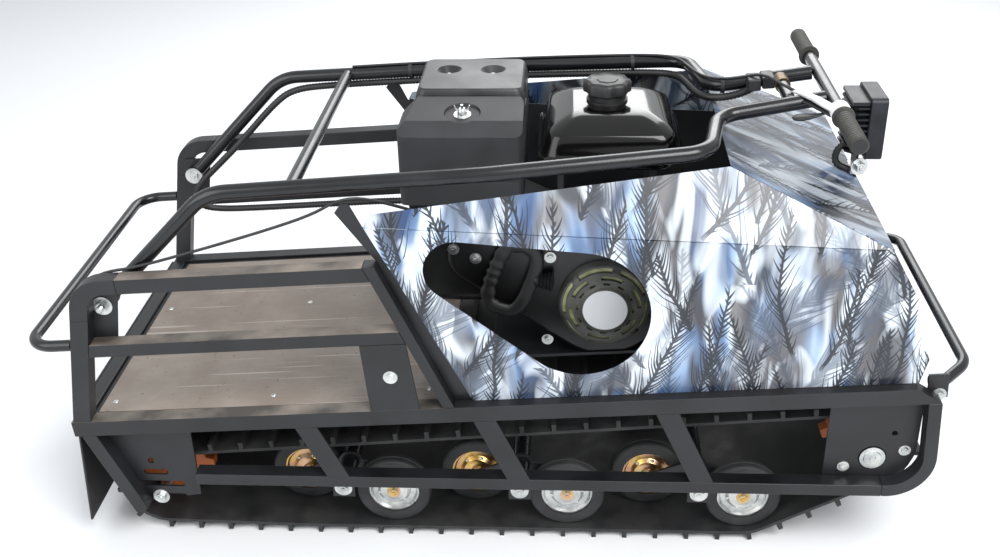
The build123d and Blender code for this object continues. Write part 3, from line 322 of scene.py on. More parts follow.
def deck_film(name="film-faced birch plywood"):
    """Phenolic film on plywood: brown, faintly grained, dusty and scratched in use."""
    tint = bpy.context.scene.tug_colours.deck_film
    material, tree, shader, place = new_finish(name, {"IOR": 1.5})
    long_grain = add_node(tree, "ShaderNodeMapping", {"Vector": place, "Scale": (4.0, 60.0, 4.0)})
    grain = add_node(
        tree, "ShaderNodeTexNoise", {"Vector": long_grain.outputs[0], "Scale": 6.0, "Detail": 6.0}
    ).outputs["Fac"]
    dust = add_node(
        tree, "ShaderNodeTexNoise", {"Vector": place, "Scale": 7.0, "Detail": 8.0, "Roughness": 0.65}
    ).outputs["Fac"]
    film = blended(tree, grain, tint, scaled(tint, 1.35))
    film = blended(tree, ramped(tree, dust, 0.42, 0.72, 0.0, 0.6), film, linear("#A69E94"))
    # Scratches are the crests of noise drawn out into long thin streaks: lean, narrowness.
    for lean, size in ((0.35, 26.0), (-0.5, 34.0), (1.3, 30.0)):
        streak = add_node(
            tree, "ShaderNodeMapping", {"Vector": place, "Rotation": (0, 0, lean), "Scale": (0.9, size, 1.0)}
        ).outputs[0]
        crest = add_node(tree, "ShaderNodeTexNoise", {"Vector": streak, "Scale": 3.0, "Detail": 1.0})
        share = ramped(tree, crest.outputs["Fac"], 0.7, 0.74, 0.0, 0.5)
        film = blended(tree, share, film, linear("#C4BDB3"))
    grit = add_node(tree, "ShaderNodeTexNoise", {"Vector": place, "Scale": 130.0, "Detail": 1.0})
    specks = ramped(tree, grit.outputs["Fac"], 0.72, 0.76, 0.0, 0.7)
    film = blended(tree, specks, film, linear("#4A433D"))
    tree.links.new(film, shader.inputs["Base Color"])
    tree.links.new(ramped(tree, dust, 0.0, 1.0, 0.3, 0.6), shader.inputs["Roughness"])
    height = add_node(
        tree, "ShaderNodeBump", {"Height": grain, "Strength": 0.15, "Distance": FILM_GRAIN_DEPTH}
    )
    tree.links.new(height.outputs["Normal"], shader.inputs["Normal"])
    return material


def maths(tree, operation, *values):
    """The result of one maths node."""
    return add_node(tree, "ShaderNodeMath", dict(enumerate(values)), operation=operation).outputs[0]


def ramped(tree, value, start, end, first, last):
    """A value drawn out linearly from one range to another; each end may be a socket."""
    inputs = {"Value": value, "From Min": start, "From Max": end, "To Min": first, "To Max": last}
    return add_node(tree, "ShaderNodeMapRange", inputs).outputs["Result"]


def blended(tree, share, under, over):
    """One colour laid over another by a share."""
    node = add_node(tree, "ShaderNodeMix", data_type="RGBA")
    for socket, value in ((0, share), (6, under), (7, over)):
        if isinstance(value, bpy.types.NodeSocket):
            tree.links.new(value, node.inputs[socket])
        else:
            node.inputs[socket].default_value = value
    return node.outputs[2]


def fill_ramp(ramp, stops):
    """Give a new ramp its stops: position and colour code, from the first to the last."""
    ends = (stops[0], stops[-1])
    for element, (position, code) in zip(ramp.elements, ends):
        element.position, element.color = position, linear(code)
    for position, code in stops[1:-1]:
        ramp.elements.new(position).color = linear(code)


def twig_mask(tree, place, width, height, turn, shift, blur, reach_limit):
    """Fir twigs on a plane, one to a tall cell of width by height metres: a bent stem with
    needles that rise along it. The mask is 1 on a twig."""
    laid = add_node(
        tree, "ShaderNodeMapping", {"Vector": place, "Location": shift, "Rotation": (0, 0, turn)}
    ).outputs[0]
    squeeze = (1 / width, 1 / height, 1.0)
    at = add_node(tree, "ShaderNodeVectorMath", {0: laid, 1: squeeze}, operation="MULTIPLY").outputs[0]
    cell = add_node(
        tree, "ShaderNodeTexVoronoi", {"Vector": at, "Scale": 1.0, "Randomness": 0.8}, voronoi_dimensions="2D"
    )
    offset = add_node(
        tree, "ShaderNodeVectorMath", {0: at, 1: cell.outputs["Position"]}, operation="SUBTRACT"
    ).outputs[0]
    metres = add_node(
        tree, "ShaderNodeVectorMath", {0: offset, 1: (width, height, 1.0)}, operation="MULTIPLY"
    ).outputs[0]
    chance = add_node(tree, "ShaderNodeSeparateXYZ", {0: cell.outputs["Color"]}).outputs
    lean = ramped(tree, chance[0], 0.0, 1.0, -0.2, 0.2)
    turned = add_node(
        tree, "ShaderNodeVectorRotate", {"Vector": metres, "Angle": lean}, rotation_type="Z_AXIS"
    ).outputs[0]
    local = add_node(tree, "ShaderNodeSeparateXYZ", {0: turned}).outputs
    along = local[1]
    sway = add_node(tree, "ShaderNodeTexNoise", {"Vector": turned, "Scale": 9.0, "Detail": 2.0})
    bend = ramped(tree, chance[1], 0.0, 1.0, -1.6, 1.6)
    curved = maths(tree, "MULTIPLY_ADD", maths(tree, "MULTIPLY", along, along), bend, local[0])
    wander = maths(tree, "SUBTRACT", sway.outputs["Fac"], 0.5)
    across = maths(tree, "MULTIPLY_ADD", wander, 0.02, curved)
    reach = maths(tree, "ABSOLUTE", across)
    stem_width = ramped(tree, along, -0.5 * height, 0.5 * height, 0.0034, 0.0009)
    stem = ramped(tree, reach, stem_width, maths(tree, "ADD", stem_width, blur), 1.0, 0.0)
    # Needles leave the stem at forty degrees and curve up along it. Each one has a number, and
    # the number and its side give it a length and a place of its own.
    spacing = 0.0105
    side = maths(tree, "GREATER_THAN", across, 0.0)
    rise_of_reach = maths(tree, "MULTIPLY", reach, maths(tree, "MULTIPLY_ADD", reach, 38.0, 1.1))
    ruffle = add_node(tree, "ShaderNodeTexNoise", {"Vector": turned, "Scale": 16.0, "Detail": 1.0})
    straight = maths(tree, "SUBTRACT", along, rise_of_reach)
    climb = maths(tree, "MULTIPLY_ADD", ruffle.outputs["Fac"], 0.02, straight)
    tooth = maths(tree, "MULTIPLY_ADD", side, 0.43, maths(tree, "DIVIDE", climb, spacing))
    number = maths(tree, "FLOOR", tooth)
    seed = maths(tree, "MULTIPLY", chance[1], 50.0)
    key = add_node(tree, "ShaderNodeCombineXYZ", {0: number, 1: side, 2: seed}).outputs[0]
    dice = add_node(tree, "ShaderNodeTexWhiteNoise", {"Vector": key}, noise_dimensions="3D")
    own = add_node(tree, "ShaderNodeSeparateXYZ", {0: dice.outputs["Color"]}).outputs
    from_middle = maths(tree, "ABSOLUTE", along)
    taper = ramped(tree, from_middle, 0.1 * height, 0.5 * height, reach_limit, 0.3 * reach_limit)
    length = maths(tree, "MULTIPLY", taper, ramped(tree, own[0], 0.05, 1.0, 0.12, 1.15))
    place_in_gap = ramped(tree, own[1], 0.0, 1.0, 0.32, 0.68)
    part = maths(tree, "SUBTRACT", maths(tree, "SUBTRACT", tooth, number), place_in_gap)
    comb = maths(tree, "MULTIPLY", maths(tree, "ABSOLUTE", part), spacing)
    thick = ramped(tree, maths(tree, "DIVIDE", reach, length), 0.0, 1.0, 0.0031, 0.0006)
    soft = maths(tree, "ADD", thick, maths(tree, "MULTIPLY", blur, 1.8))
    needles = ramped(tree, comb, thick, soft, 1.0, 0.0)
    inside = ramped(tree, length, reach, maths(tree, "ADD", reach, 0.003), 0.0, 1.0)
    fringe = maths(tree, "MULTIPLY", needles, inside)
    both = maths(tree, "MAXIMUM", stem, fringe)
    tip = ramped(tree, from_middle, 0.46 * height, 0.54 * height, 1.0, 0.0)
    fade = ramped(tree, chance[2], 0.04, 0.2, 0.0, 1.0)
    return maths(tree, "MULTIPLY", maths(tree, "MULTIPLY", both, tip), fade)


def winter_film(name, turn, painted_shade=0.0):
    """Laminated vinyl film printed with blurred frost and fir twigs; turn lays the print's
    plane on the sheet's own, and the last argument is the share of painted shade, a dark
    grey-blue laid over the whole print to darken a sheet's copy of the film."""
    material, tree, shader, place = new_finish(
        name, {"IOR": 1.5, "Roughness": 0.3, "Coat Weight": 0.3, "Coat Roughness": 0.12}
    )
    flat = add_node(tree, "ShaderNodeMapping", {"Vector": place, "Rotation": turn}).outputs[0]

    def smear(shift, lean, size, detail):
        """Noise drawn out along the twigs."""
        laid = add_node(
            tree, "ShaderNodeMapping",
            {"Vector": flat, "Location": shift, "Rotation": (0, 0, lean), "Scale": (size, size * 0.36, 1.0)},
        ).outputs[0]
        return add_node(
            tree, "ShaderNodeTexNoise",
            {"Vector": laid, "Scale": 1.0, "Detail": detail, "Distortion": 0.7}, noise_dimensions="2D",
        ).outputs["Fac"]

    sky = add_node(tree, "ShaderNodeValToRGB", {"Fac": smear((0, 0, 0), 0.5, 10.0, 2.0)})
    fill_ramp(sky.color_ramp, [(0.3, "#2B4570"), (0.43, "#627C9F"), (0.54, "#A2BBDB"), (0.68, "#E2EEFA")])
    out = sky.outputs["Color"]
    # smears over the sky: shift, lean, size, from, to, colour, strength
    smears = [
        ((4.1, 2.7, 0), -0.45, 10.0, 0.44, 0.62, "#625D5A", 0.9),
        ((8.3, 5.9, 0), 0.55, 11.0, 0.48, 0.66, "#33363C", 0.85),
        ((1.7, 9.1, 0), 0.75, 13.0, 0.52, 0.68, "#E8F1FA", 0.85),
        ((6.6, 3.3, 0), -0.6, 15.0, 0.54, 0.68, "#E8F1FA", 0.75),
    ]
    for shift, lean, size, start, end, code, strength in smears:
        share = ramped(tree, smear(shift, lean, size, 2.0), start, end, 0.0, strength)
        out = blended(tree, share, out, linear(code))
    # Painted shade: a share of dark grey-blue laid over the whole print.
    out = blended(tree, painted_shade, out, linear("#3A4048"))
    # twig layers: cell width and height, turn, shift, blur, needle reach, colour, strength
    layers = [
        (0.16, 0.4, 0.6, (0.31, 0.62, 0), 0.006, 0.046, "#495262", 0.75),
        (0.12, 0.34, -0.45, (2.33, 7.14, 0), 0.002, 0.034, "#333C4B", 0.85),
        (0.1, 0.3, 0.34, (9.42, 3.27, 0), 0.0007, 0.032, "#1B212C", 0.95),
        (0.11, 0.27, -0.18, (5.13, 1.71, 0), 0.0005, 0.03, "#141922", 0.95),
        (0.14, 0.24, 0.08, (3.74, 8.26, 0), 0.0006, 0.03, "#171C25", 0.95),
    ]
    for width, height, lean, shift, blur, limit, code, strength in layers:
        mask = twig_mask(tree, flat, width, height, lean, shift, blur, limit)
        out = blended(tree, maths(tree, "MULTIPLY", mask, strength), out, linear(code))
    tree.links.new(out, shader.inputs["Base Color"])
    return material


FINISHES = {}


def finish(maker, *details):
    """Each finish is made once and then shared."""
    key = (maker.__name__, *details)
    if key not in FINISHES:
        FINISHES[key] = maker(*details)
    return FINISHES[key]


# Shapes, in millimetres.

MERGE = 0.001
UP = (0, 0, 1)
# Tubes and other round work stay smooth over wider turns than pressed sheet.
TUBE_ANGLE = 50


def add_block(bm, low, high):
    """A box between two corners."""
    low, high = Vector(low), Vector(high)
    place = Matrix.Translation((low + high) / 2) @ Matrix.Diagonal((*(high - low), 1))
    return bmesh.ops.create_cube(bm, size=1, matrix=place)["verts"]


def add_rod(bm, start, end, radius, end_radius=None, sides=32):
    """A round bar or cone between two points."""
    start, end = Vector(start), Vector(end)
    turn = (end - start).to_track_quat("Z", "Y").to_matrix().to_4x4()
    place = Matrix.Translation((start + end) / 2) @ turn
    return bmesh.ops.create_cone(
        bm,
        cap_ends=True,
        segments=sides,
        radius1=radius,
        radius2=radius if end_radius is None else end_radius,
        depth=(end - start).length,
        matrix=place,
    )["verts"]


def add_turned(bm, profile, origin, axis, sides=40):
    """A profile of (distance along the axis, radius) rows, spun about the axis."""
    origin, axis = Vector(origin), Vector(axis).normalized()
    across = axis.orthogonal().normalized()
    verts = [bm.verts.new(origin + axis * along + across * radius) for along, radius in profile]
    edges = [bm.edges.new(pair) for pair in zip(verts, verts[1:])]
    bmesh.ops.spin(
        bm, geom=verts + edges, cent=origin, axis=axis, angle=2 * math.pi, steps=sides, use_merge=True
    )


def add_swept(bm, points, radii, sides=16, flatness=1.0):
    """Rings along a path, bridged into one closed tube."""
    points = [Vector(p) for p in points]
    heading = points[1] - points[0]
    turn = heading.to_track_quat("Z", "Y")
    loops = []
    for i, (point, radius) in enumerate(zip(points, radii)):
        ahead = points[min(i + 1, len(points) - 1)] - points[max(i - 1, 0)]
        turn = heading.rotation_difference(ahead) @ turn
        heading = ahead
        place = Matrix.Translation(point) @ turn.to_matrix().to_4x4() @ Matrix.Diagonal((1, flatness, 1, 1))
        verts = bmesh.ops.create_circle(
            bm, cap_ends=i in (0, len(points) - 1), segments=sides, radius=radius, matrix=place
        )["verts"]
        loops.append(list({edge for vert in verts for edge in vert.link_edges}))
        if i:
            bmesh.ops.bridge_loops(bm, edges=loops[-2] + loops[-1])


def add_hex(bm, origin, axis, across, height):
    """A hexagon head with a washer under it and the bolt's tip above it. Radii are shares
    of the width across its flats."""
    washer, tip = 1.6, 1.0
    top = washer + height
    origin, axis = Vector(origin), Vector(axis).normalized()
    rim_shares = [(0, 0.62), (0, 0.95), (washer, 0.95), (washer, 0)]
    tip_shares = [(top, 0), (top, 0.3), (top + tip, 0.26), (top + tip, 0)]
    add_turned(bm, [(along, across * share) for along, share in rim_shares], origin, axis, sides=24)
    add_rod(bm, origin + axis * washer, origin + axis * top, across * 0.577, sides=6)
    add_turned(bm, [(along, across * share) for along, share in tip_shares], origin, axis, sides=16)


def edges_along(verts, axis):
    """The edges at these vertices that run along an axis: 0, 1 or 2."""
    edges = {edge for vert in verts for edge in vert.link_edges}
    return [e for e in edges if abs((e.verts[0].co - e.verts[1].co).normalized()[axis]) > 0.9]


def round_corners(bm, edges, radius, segments):
    """Round edges of a shape in the making."""
    bmesh.ops.bevel(
        bm, geom=edges, offset=radius, segments=segments, profile=0.5, affect="EDGES", material=-1
    )


def draw_up(bm, face, steps, keep_first=False):
    """Extrude a face through rows of (rise, length factor, width factor). The faces that are
    left inside go; the first one can stay as the floor of a shape that has none."""
    for row, (lift, length, width) in enumerate(steps):
        centre = face.calc_center_median()
        made = bmesh.ops.extrude_face_region(bm, geom=[face])["geom"]
        if row or not keep_first:
            bmesh.ops.delete(bm, geom=[face], context="FACES_ONLY")
        face = next(g for g in made if isinstance(g, bmesh.types.BMFace))
        about = Matrix.Translation(-centre)
        bmesh.ops.scale(bm, vec=(length, width, 1), space=about, verts=face.verts)
        bmesh.ops.translate(bm, vec=(0, 0, lift), verts=face.verts)


def top_face(bm):
    """The highest face that looks up."""
    level = [f for f in bm.faces if f.normal.z > 0.9]
    return max(level, key=lambda f: f.calc_center_median().z)


def shade(bm, angle):
    """Smooth faces, with sharp edges where the surface turns by more than the angle."""
    for face in bm.faces:
        face.smooth = True
    for edge in bm.edges:
        edge.smooth = edge.is_manifold and edge.calc_face_angle(0) < math.radians(angle)


def new_piece(name, bm, material, place=ON_DECK, body="tug", angle=35):
    """Make the object of a finished shape, placed in its mesh."""
    bmesh.ops.remove_doubles(bm, verts=bm.verts, dist=MERGE)
    bmesh.ops.recalc_face_normals(bm, faces=bm.faces)
    bm.transform(place)
    shade(bm, angle)
    mesh = bpy.data.meshes.new(name)
    bm.to_mesh(mesh)
    bm.free()
    mesh.materials.append(material)
    made = bpy.data.objects.new(name, mesh)
    bpy.context.collection.objects.link(made)
    if body:
        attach(made, body)
    return made


def carve(made, cutter_bm, place=ON_DECK, angle=35):
    """Cut a shape out of a piece."""
    bmesh.ops.remove_doubles(cutter_bm, verts=cutter_bm.verts, dist=MERGE)
    bmesh.ops.recalc_face_normals(cutter_bm, faces=cutter_bm.faces)
    cutter_bm.transform(place)
    mesh = bpy.data.meshes.new("cutter")
    cutter_bm.to_mesh(mesh)
    cutter_bm.free()
    cutter = bpy.data.objects.new("cutter", mesh)
    bpy.context.collection.objects.link(cutter)
    cut = made.modifiers.new("cut", "BOOLEAN")
    cut.object, cut.solver = cutter, "EXACT"
    carved = bpy.data.meshes.new_from_object(made.evaluated_get(bpy.context.evaluated_depsgraph_get()))
    made.modifiers.clear()
    bm = bmesh.new()
    bm.from_mesh(carved)
    shade(bm, angle)
    bm.to_mesh(carved)
    bm.free()
    made.data = carved
    bpy.data.objects.remove(cutter)


def round_edges(made, width, segments=2, angle=35):
    """Round the sharp edges of a piece."""
    edges = made.modifiers.new("rounding", "BEVEL")
    edges.width, edges.segments = width, segments
    edges.limit_method, edges.angle_limit = "ANGLE", math.radians(angle)
    edges.profile, edges.harden_normals = 0.5, True


def worked_copy(node, material, width=None, angle=35, lining=None, inward=None):
    """A merged copy of a CAD node with rounded edges, shown in its place. The faces that
    look inward get the lining."""
    bm = bmesh.new()
    bm.from_mesh(NODES[node].data)
    bmesh.ops.remove_doubles(bm, verts=bm.verts, dist=MERGE / 1000)
    bmesh.ops.dissolve_limit(bm, angle_limit=math.radians(0.6), verts=bm.verts, edges=bm.edges)
    shade(bm, angle)
    mesh = bpy.data.meshes.new(node + "_worked")
    bm.to_mesh(mesh)
    bm.free()
    mesh.materials.append(material)
    if lining:
        mesh.materials.append(lining)
        for face in mesh.polygons:
            face.material_index = int(inward(face.center, face.normal))
    made = bpy.data.objects.new(node + "_worked", mesh)
    bpy.context.collection.objects.link(made)
    handle_nodes = frame["record"]["behaviour"]["bodies"]["handle"]
    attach(made, "handle" if node in handle_nodes else "tug")
    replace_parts(made, node)
    if width:
        round_edges(made, width, angle=angle)
    return made


def dress(node, material):
    """Give a CAD node its finish as it is."""
    mesh = NODES[node].data
    mesh.materials.clear()
    mesh.materials.append(material)


def along_curve(points, spacing):
    """Even steps along the smooth line that has these control points."""
    data = bpy.data.curves.new("route", "CURVE")
    data.dimensions = "3D"
    spline = data.splines.new("NURBS")
    spline.points.add(len(points) - 1)
    for control, point in zip(spline.points, points):
        control.co = (*point, 1)
    spline.order_u = 3
    spline.use_endpoint_u = True
    spline.resolution_u = 16
    holder = bpy.data.objects.new("route", data)
    line = [v.co.copy() for v in bpy.data.meshes.new_from_object(holder).vertices]
    bpy.data.objects.remove(holder)
    steps = [line[0]]
    left = spacing
    for start, end in zip(line, line[1:]):
        run = (end - start).length
        done = 0
        while run - done >= left:
            done += left
            steps.append(start.lerp(end, done / run))
            left = spacing
        left -= run - done
    return steps


class TugOperator:
    """What all the operators share."""

    bl_options = {"REGISTER", "UNDO"}

    @classmethod
    def poll(cls, context):
        return context.scene is not None


# Frame and deck. Profiles are rows of distance along the axis and radius.

# middle of each roller bay
BAYS = [430, 750, 1070]
MEMBERS = (
    "side_beams lower_rails nose_rails tail_rails rail_posts rail_corners top_rails mid_rails"
).split()
DUSTY_MEMBERS = ("side_beams", "mid_rails", "top_rails")
SHEETS = (
    "window_bars nose_plates tail_plates gusset_plates pivot_brackets bumper_plates "
    "engine_plate hood_struts pivot_lugs lamp_bracket"
).split()
# bolts of both flanks: x, distance from the centre plane, z, width across flats
FLOOR_BOLTS = [(1316, 290, 191, 11), (1417, 290, 227, 11), (90, 290, 98, 16)]
FLOOR_BOLTS += [(bay, 290, 124, 17) for bay in BAYS]
DECK_BOLTS = [(1476, 290, 252, 13), (560, 320, 350, 13)]
HEAD_HEIGHT_SHARE = 0.36


class SNOWTUG_OT_frame(TugOperator, Operator):
    """Coat the welded frames, rails, bumpers and plates"""

    bl_idname = "snow_tug.frame"
    bl_label = "Frame"

    def execute(self, context):
        width = context.scene.tug_sizes.edge_round
        coat = finish(powder_coat)
        dusty = finish(dusty_coat)
        for node in MEMBERS:
            dirt = dusty if node in DUSTY_MEMBERS else None
            worked_copy(node, coat, width, lining=dirt, inward=lambda centre, normal: normal.z > 0.9)
        for node in SHEETS:
            worked_copy(node, coat, width / 3)
        for node in ("cross_members", "tail_cross_bar"):
            worked_copy(node, coat, width)
        for node in ("rear_bumper", "front_bumper", "pivot_tubes"):
            worked_copy(node, finish(gloss_tube_coat), angle=TUBE_ANGLE)
        for name, place, rows in (
            ("frame_bolts_floor", ON_FLOOR, FLOOR_BOLTS), ("frame_bolts_deck", ON_DECK, DECK_BOLTS)
        ):
            bolts = bmesh.new()
            for side in (-1, 1):
                for x, y, z, across in rows:
                    head = across * HEAD_HEIGHT_SHARE
                    add_hex(bolts, (x, side * y, z), (0, side, 0), across, head)
            new_piece(name, bolts, finish(clear_zinc), place)
        return {"FINISHED"}


# deck screws: the x of their rows, the y of each one in a row
SCREW_ROWS = (40, 330, 612)
SCREW_COLUMNS = (-250, -85, 85, 250)
SCREW_HEAD = [(0, 0), (0, 5), (0.8, 4.4), (1.2, 2.4), (0.5, 2.2), (0.5, 0)]
DECK_TOP = 277
# rounding of the deck's edges and of the flap's, in metres
BOARD_ROUND, FLAP_ROUND = 0.0008, 0.001


class SNOWTUG_OT_deck(TugOperator, Operator):
    """Lay the plywood deck with its edging and hang the rear flap"""

    bl_idname = "snow_tug.deck"
    bl_label = "Deck"

    def execute(self, context):
        worked_copy("deck_board", finish(deck_film), BOARD_ROUND)
        worked_copy("deck_edging", finish(powder_coat), BOARD_ROUND)
        worked_copy("rear_flap", finish(track_rubber), FLAP_ROUND)
        screws = bmesh.new()
        for x in SCREW_ROWS:
            for y in SCREW_COLUMNS:
                add_turned(screws, SCREW_HEAD, (x, y, DECK_TOP), UP, sides=16)
        new_piece("deck_screws", screws, finish(clear_zinc))
        return {"FINISHED"}


# Running gear.

ROLLER_HEIGHT = 89
# roller rows: name, distance ahead of the bay's middle, distance from the centre plane
ROLLER_ROWS = [("outer", 85, 242), ("inner", -85, 178)]
DISH = [
    (10, 8.4), (13, 8.4), (13, 15), (11, 18), (11, 25), (5, 31), (5, 40), (9.6, 43.5), (9.6, 46.6),
    (-9.6, 46.6), (-9.6, 43.5), (-5, 40), (-5, 31), (-11, 25), (-11, 18), (-13, 15), (-13, 8.4), (10, 8.4),
]
TYRE = [
    (-14, 47), (-14, 62.5), (-13.2, 65.4), (-11, 67.6), (-9, 68.5), (-3, 68.6), (-2.2, 67.2), (2.2, 67.2),
    (3, 68.6), (9, 68.5), (11, 67.6), (13.2, 65.4), (14, 62.5), (14, 47), (-14, 47),
]
RIVET = [(0, 3.6), (1.4, 3.2), (2.2, 1.8), (2.4, 0)]
RIVET_COUNT, RIVET_CIRCLE, RIVET_SEAT, FIRST_RIVET = 6, 28, 8.2, 12
HUB_FACE, HUB_BOLT, HUB_HEAD = 13, 13, 5
# rounding of the balance arms, in metres
ARM_ROUND = 0.0006


class SNOWTUG_OT_rollers(TugOperator, Operator):
    """Press the roller discs, fit their tyres, rivets and hub bolts"""

    bl_idname = "snow_tug.rollers"
    bl_label = "Rollers"

    def execute(self, context):
        discs = {"outer": bmesh.new(), "inner": bmesh.new()}
        tyres, rivets, bolts = bmesh.new(), bmesh.new(), bmesh.new()
        for side in (-1, 1):
            out = Vector((0, side, 0))
            for bay in BAYS:
                for row, ahead, aside in ROLLER_ROWS:
                    centre = Vector((bay + ahead, side * aside, ROLLER_HEIGHT))
                    add_turned(discs[row], DISH, centre, out)
                    add_turned(tyres, TYRE, centre, out)
                    for step in range(RIVET_COUNT):
                        turn = math.radians(360 / RIVET_COUNT * step + FIRST_RIVET)
                        arm = Vector((math.cos(turn), 0, math.sin(turn)))
                        seat = centre + arm * RIVET_CIRCLE + out * RIVET_SEAT
                        add_turned(rivets, RIVET, seat, out, sides=12)
                    add_hex(bolts, centre + out * HUB_FACE, out, HUB_BOLT, HUB_HEAD)
        new_piece("roller_discs_outer", discs["outer"], finish(clear_zinc), ON_FLOOR)
        inner = new_piece("roller_discs_inner", discs["inner"], finish(yellow_zinc), ON_FLOOR)
        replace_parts(inner, "roller_discs")
        turned = new_piece("roller_tyres_turned", tyres, finish(track_rubber), ON_FLOOR)
        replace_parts(turned, "roller_tyres")
        new_piece("roller_rivets", rivets, finish(clear_zinc), ON_FLOOR)
        new_piece("roller_hub_bolts", bolts, finish(yellow_zinc), ON_FLOOR)
        for node in ("roller_axles", "drive_shaft", "idler_shaft"):
            dress(node, finish(clear_zinc))
        worked_copy("balance_arms", finish(powder_coat), ARM_ROUND)
        return {"FINISHED"}


# end of the drive shaft: x, distance from the centre plane, z
SHAFT_END = (1364, 290, 210)
SHAFT_CAP = [(0, 19), (0, 22), (1.5, 22), (1.5, 15.5), (3, 14.5), (3, 6), (1, 5), (1, 0)]
# roundings in metres
TRACK_ROUND, SPROCKET_ROUND, BEARING_ROUND = 0.0012, 0.002, 0.0015


class SNOWTUG_OT_track(TugOperator, Operator):
    """Finish the track belt, its sprockets and the shaft bearings"""

    bl_idname = "snow_tug.track"
    bl_label = "Track"

    def execute(self, context):
        worked_copy("track", finish(track_rubber), TRACK_ROUND)
        for node in ("drive_sprockets", "idler_sprockets"):
            worked_copy(node, finish(polyurethane), SPROCKET_ROUND)
        worked_copy("shaft_bearings", finish(cast_aluminium), BEARING_ROUND)
        caps = bmesh.new()
        x, y, z = SHAFT_END
        for side in (-1, 1):
            add_turned(caps, SHAFT_CAP, (x, side * y, z), (0, side, 0))
        new_piece("shaft_caps", caps, finish(clear_zinc), ON_FLOOR)
        return {"FINISHED"}


# Hood.

# turns that lay the print on upright sheets, on the top and on the front, and the share of painted shade that
# darkens the top's copy of the print
SIDE_TURN, TOP_TURN, FRONT_TURN = (-math.pi / 2, 0, 0), (0, 0, 1.42), (-math.pi / 2, 0, math.pi / 2)
TOP_PAINTED_SHADE = 0.42
SHEET_ROUND = 0.0004


class SNOWTUG_OT_hood(TugOperator, Operator):
    """Wrap the hood's sheets in the printed film"""

    bl_idname = "snow_tug.hood"
    bl_label = "Hood"

    def execute(self, context):
        upright = finish(winter_film, "printed film sides", SIDE_TURN)
        # The top sheet's copy of the film carries painted shade.
        level = finish(winter_film, "printed film top", TOP_TURN, TOP_PAINTED_SHADE)
        ahead = finish(winter_film, "printed film front", FRONT_TURN)
        # Inside, the sheets show their black coat; the strips are wrapped on both sides.
        rows = [
            ("hood_sides", upright, lambda centre, normal: normal.y * centre.y < -0.1),
            ("hood_strips", upright, lambda centre, normal: False),
            ("hood_top", level, lambda centre, normal: normal.z < -0.5),
            ("hood_front", ahead, lambda centre, normal: normal.x < -0.5),
        ]
        for node, film, inward in rows:
            worked_copy(node, film, SHEET_ROUND, lining=finish(powder_coat), inward=inward)
        return {"FINISHED"}


# Engine, level with the floor. A block is its two corners.

TANK = ((797, -114, 664), (1013, 114, 682))
TANK_CORNER = 30
# how the tank is drawn up from its seam to its crown: rise, length factor, width factor
TANK_RISE = [
    (6, 1.03, 1.03), (2, 1.11, 1.09), (2, 1.02, 1.02), (3, 1.0, 1.0), (2, 0.985, 0.985), (3, 0.945, 0.955),
    (26, 0.955, 0.955), (8, 0.965, 0.965), (3, 0.975, 0.975), (2.5, 0.97, 0.97), (7, 0.9, 0.9),
    (8, 0.82, 0.84), (4, 0.85, 0.87), (1.5, 0.8, 0.8),
]
CAP_X, CAP_FOOT, CAP_RADIUS = 900, 777, 40
CAP_LOBES, LOBE_SHARE = 8, 0.05
# how the cap is drawn up: rise, factor
CAP_RISE = [(15, 1.0), (3, 0.96), (2.4, 0.88), (-2, 0.9), (0.5, 0.6), (1.5, 0.93), (0, 0.4)]
CAP_SKIRT = [(0, 0), (0, 36), (4, 36), (5, 33), (12, 33), (12, 31), (18, 31), (18, 0)]
SKIRT_FOOT = 759.5


class SNOWTUG_OT_tank(TugOperator, Operator):
    """Press the fuel tank and its lobed cap"""

    bl_idname = "snow_tug.tank"
    bl_label = "Fuel tank"

    def execute(self, context):
        bm = bmesh.new()
        round_corners(bm, edges_along(add_block(bm, *TANK), 2), TANK_CORNER, segments=5)
        draw_up(bm, top_face(bm), TANK_RISE)
        made = new_piece("fuel_tank_pressed", bm, finish(tank_enamel), ON_FLOOR, angle=24)
        rounding = made.modifiers.new("rounding", "SUBSURF")
        rounding.levels = rounding.render_levels = 2
        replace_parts(made, "fuel_tank")
        cap = bmesh.new()
        foot = Matrix.Translation((CAP_X, 0, CAP_FOOT))
        ring = bmesh.ops.create_circle(cap, cap_ends=True, segments=96, radius=CAP_RADIUS, matrix=foot)
        for vert in ring["verts"]:
            turn = math.atan2(vert.co.y, vert.co.x - CAP_X)
            wave = 1 + LOBE_SHARE * math.cos(CAP_LOBES * turn)
            vert.co.x, vert.co.y = CAP_X + (vert.co.x - CAP_X) * wave, vert.co.y * wave
        face = ring["verts"][0].link_faces[0]
        draw_up(cap, face, [(lift, factor, factor) for lift, factor in CAP_RISE], keep_first=True)
        add_turned(cap, CAP_SKIRT, (CAP_X, 0, SKIRT_FOOT), UP, sides=64)
        made = new_piece("tank_cap_lobed", cap, finish(black_nylon), ON_FLOOR, angle=40)
        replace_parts(made, "tank_cap")
        return {"FINISHED"}


AIR_CLEANER, CLEANER_CORNER = ((542, -121, 610), (756, -13, 770)), 12
# Planes trim the cover, each a point and the way out of it: its near wall ends at a
# shoulder, its lid rises to the far side.
COVER_PLANES = [
    ((640, -121, 736), (0, -0.55, 0.85)), ((640, -107, 752), (0, -0.19, 0.98)),
    ((542, -60, 744), (-0.7, 0, 0.72)), ((756, -60, 764), (0.7, 0, 0.72)),
]
COVER_GROOVE = ((520, -119.6, 655), (780, -140, 657.4))
LID_CENTRE, LID_TILT, LID_AXIS = (651, -66, 760.5), 0.19, (0, -0.19, 0.98)
# the lid's round well: radius at its bottom and at its top, depth, rise above the lid's centre
WELL_BOTTOM, WELL_TOP, WELL_DEPTH, WELL_RISE = 30, 37, 14, 3
NUT = [(-5, 0), (-5, 15), (-3.4, 15), (-3.4, 9), (4, 8), (8, 5), (8, 2.6), (15, 2.6), (15, 0)]
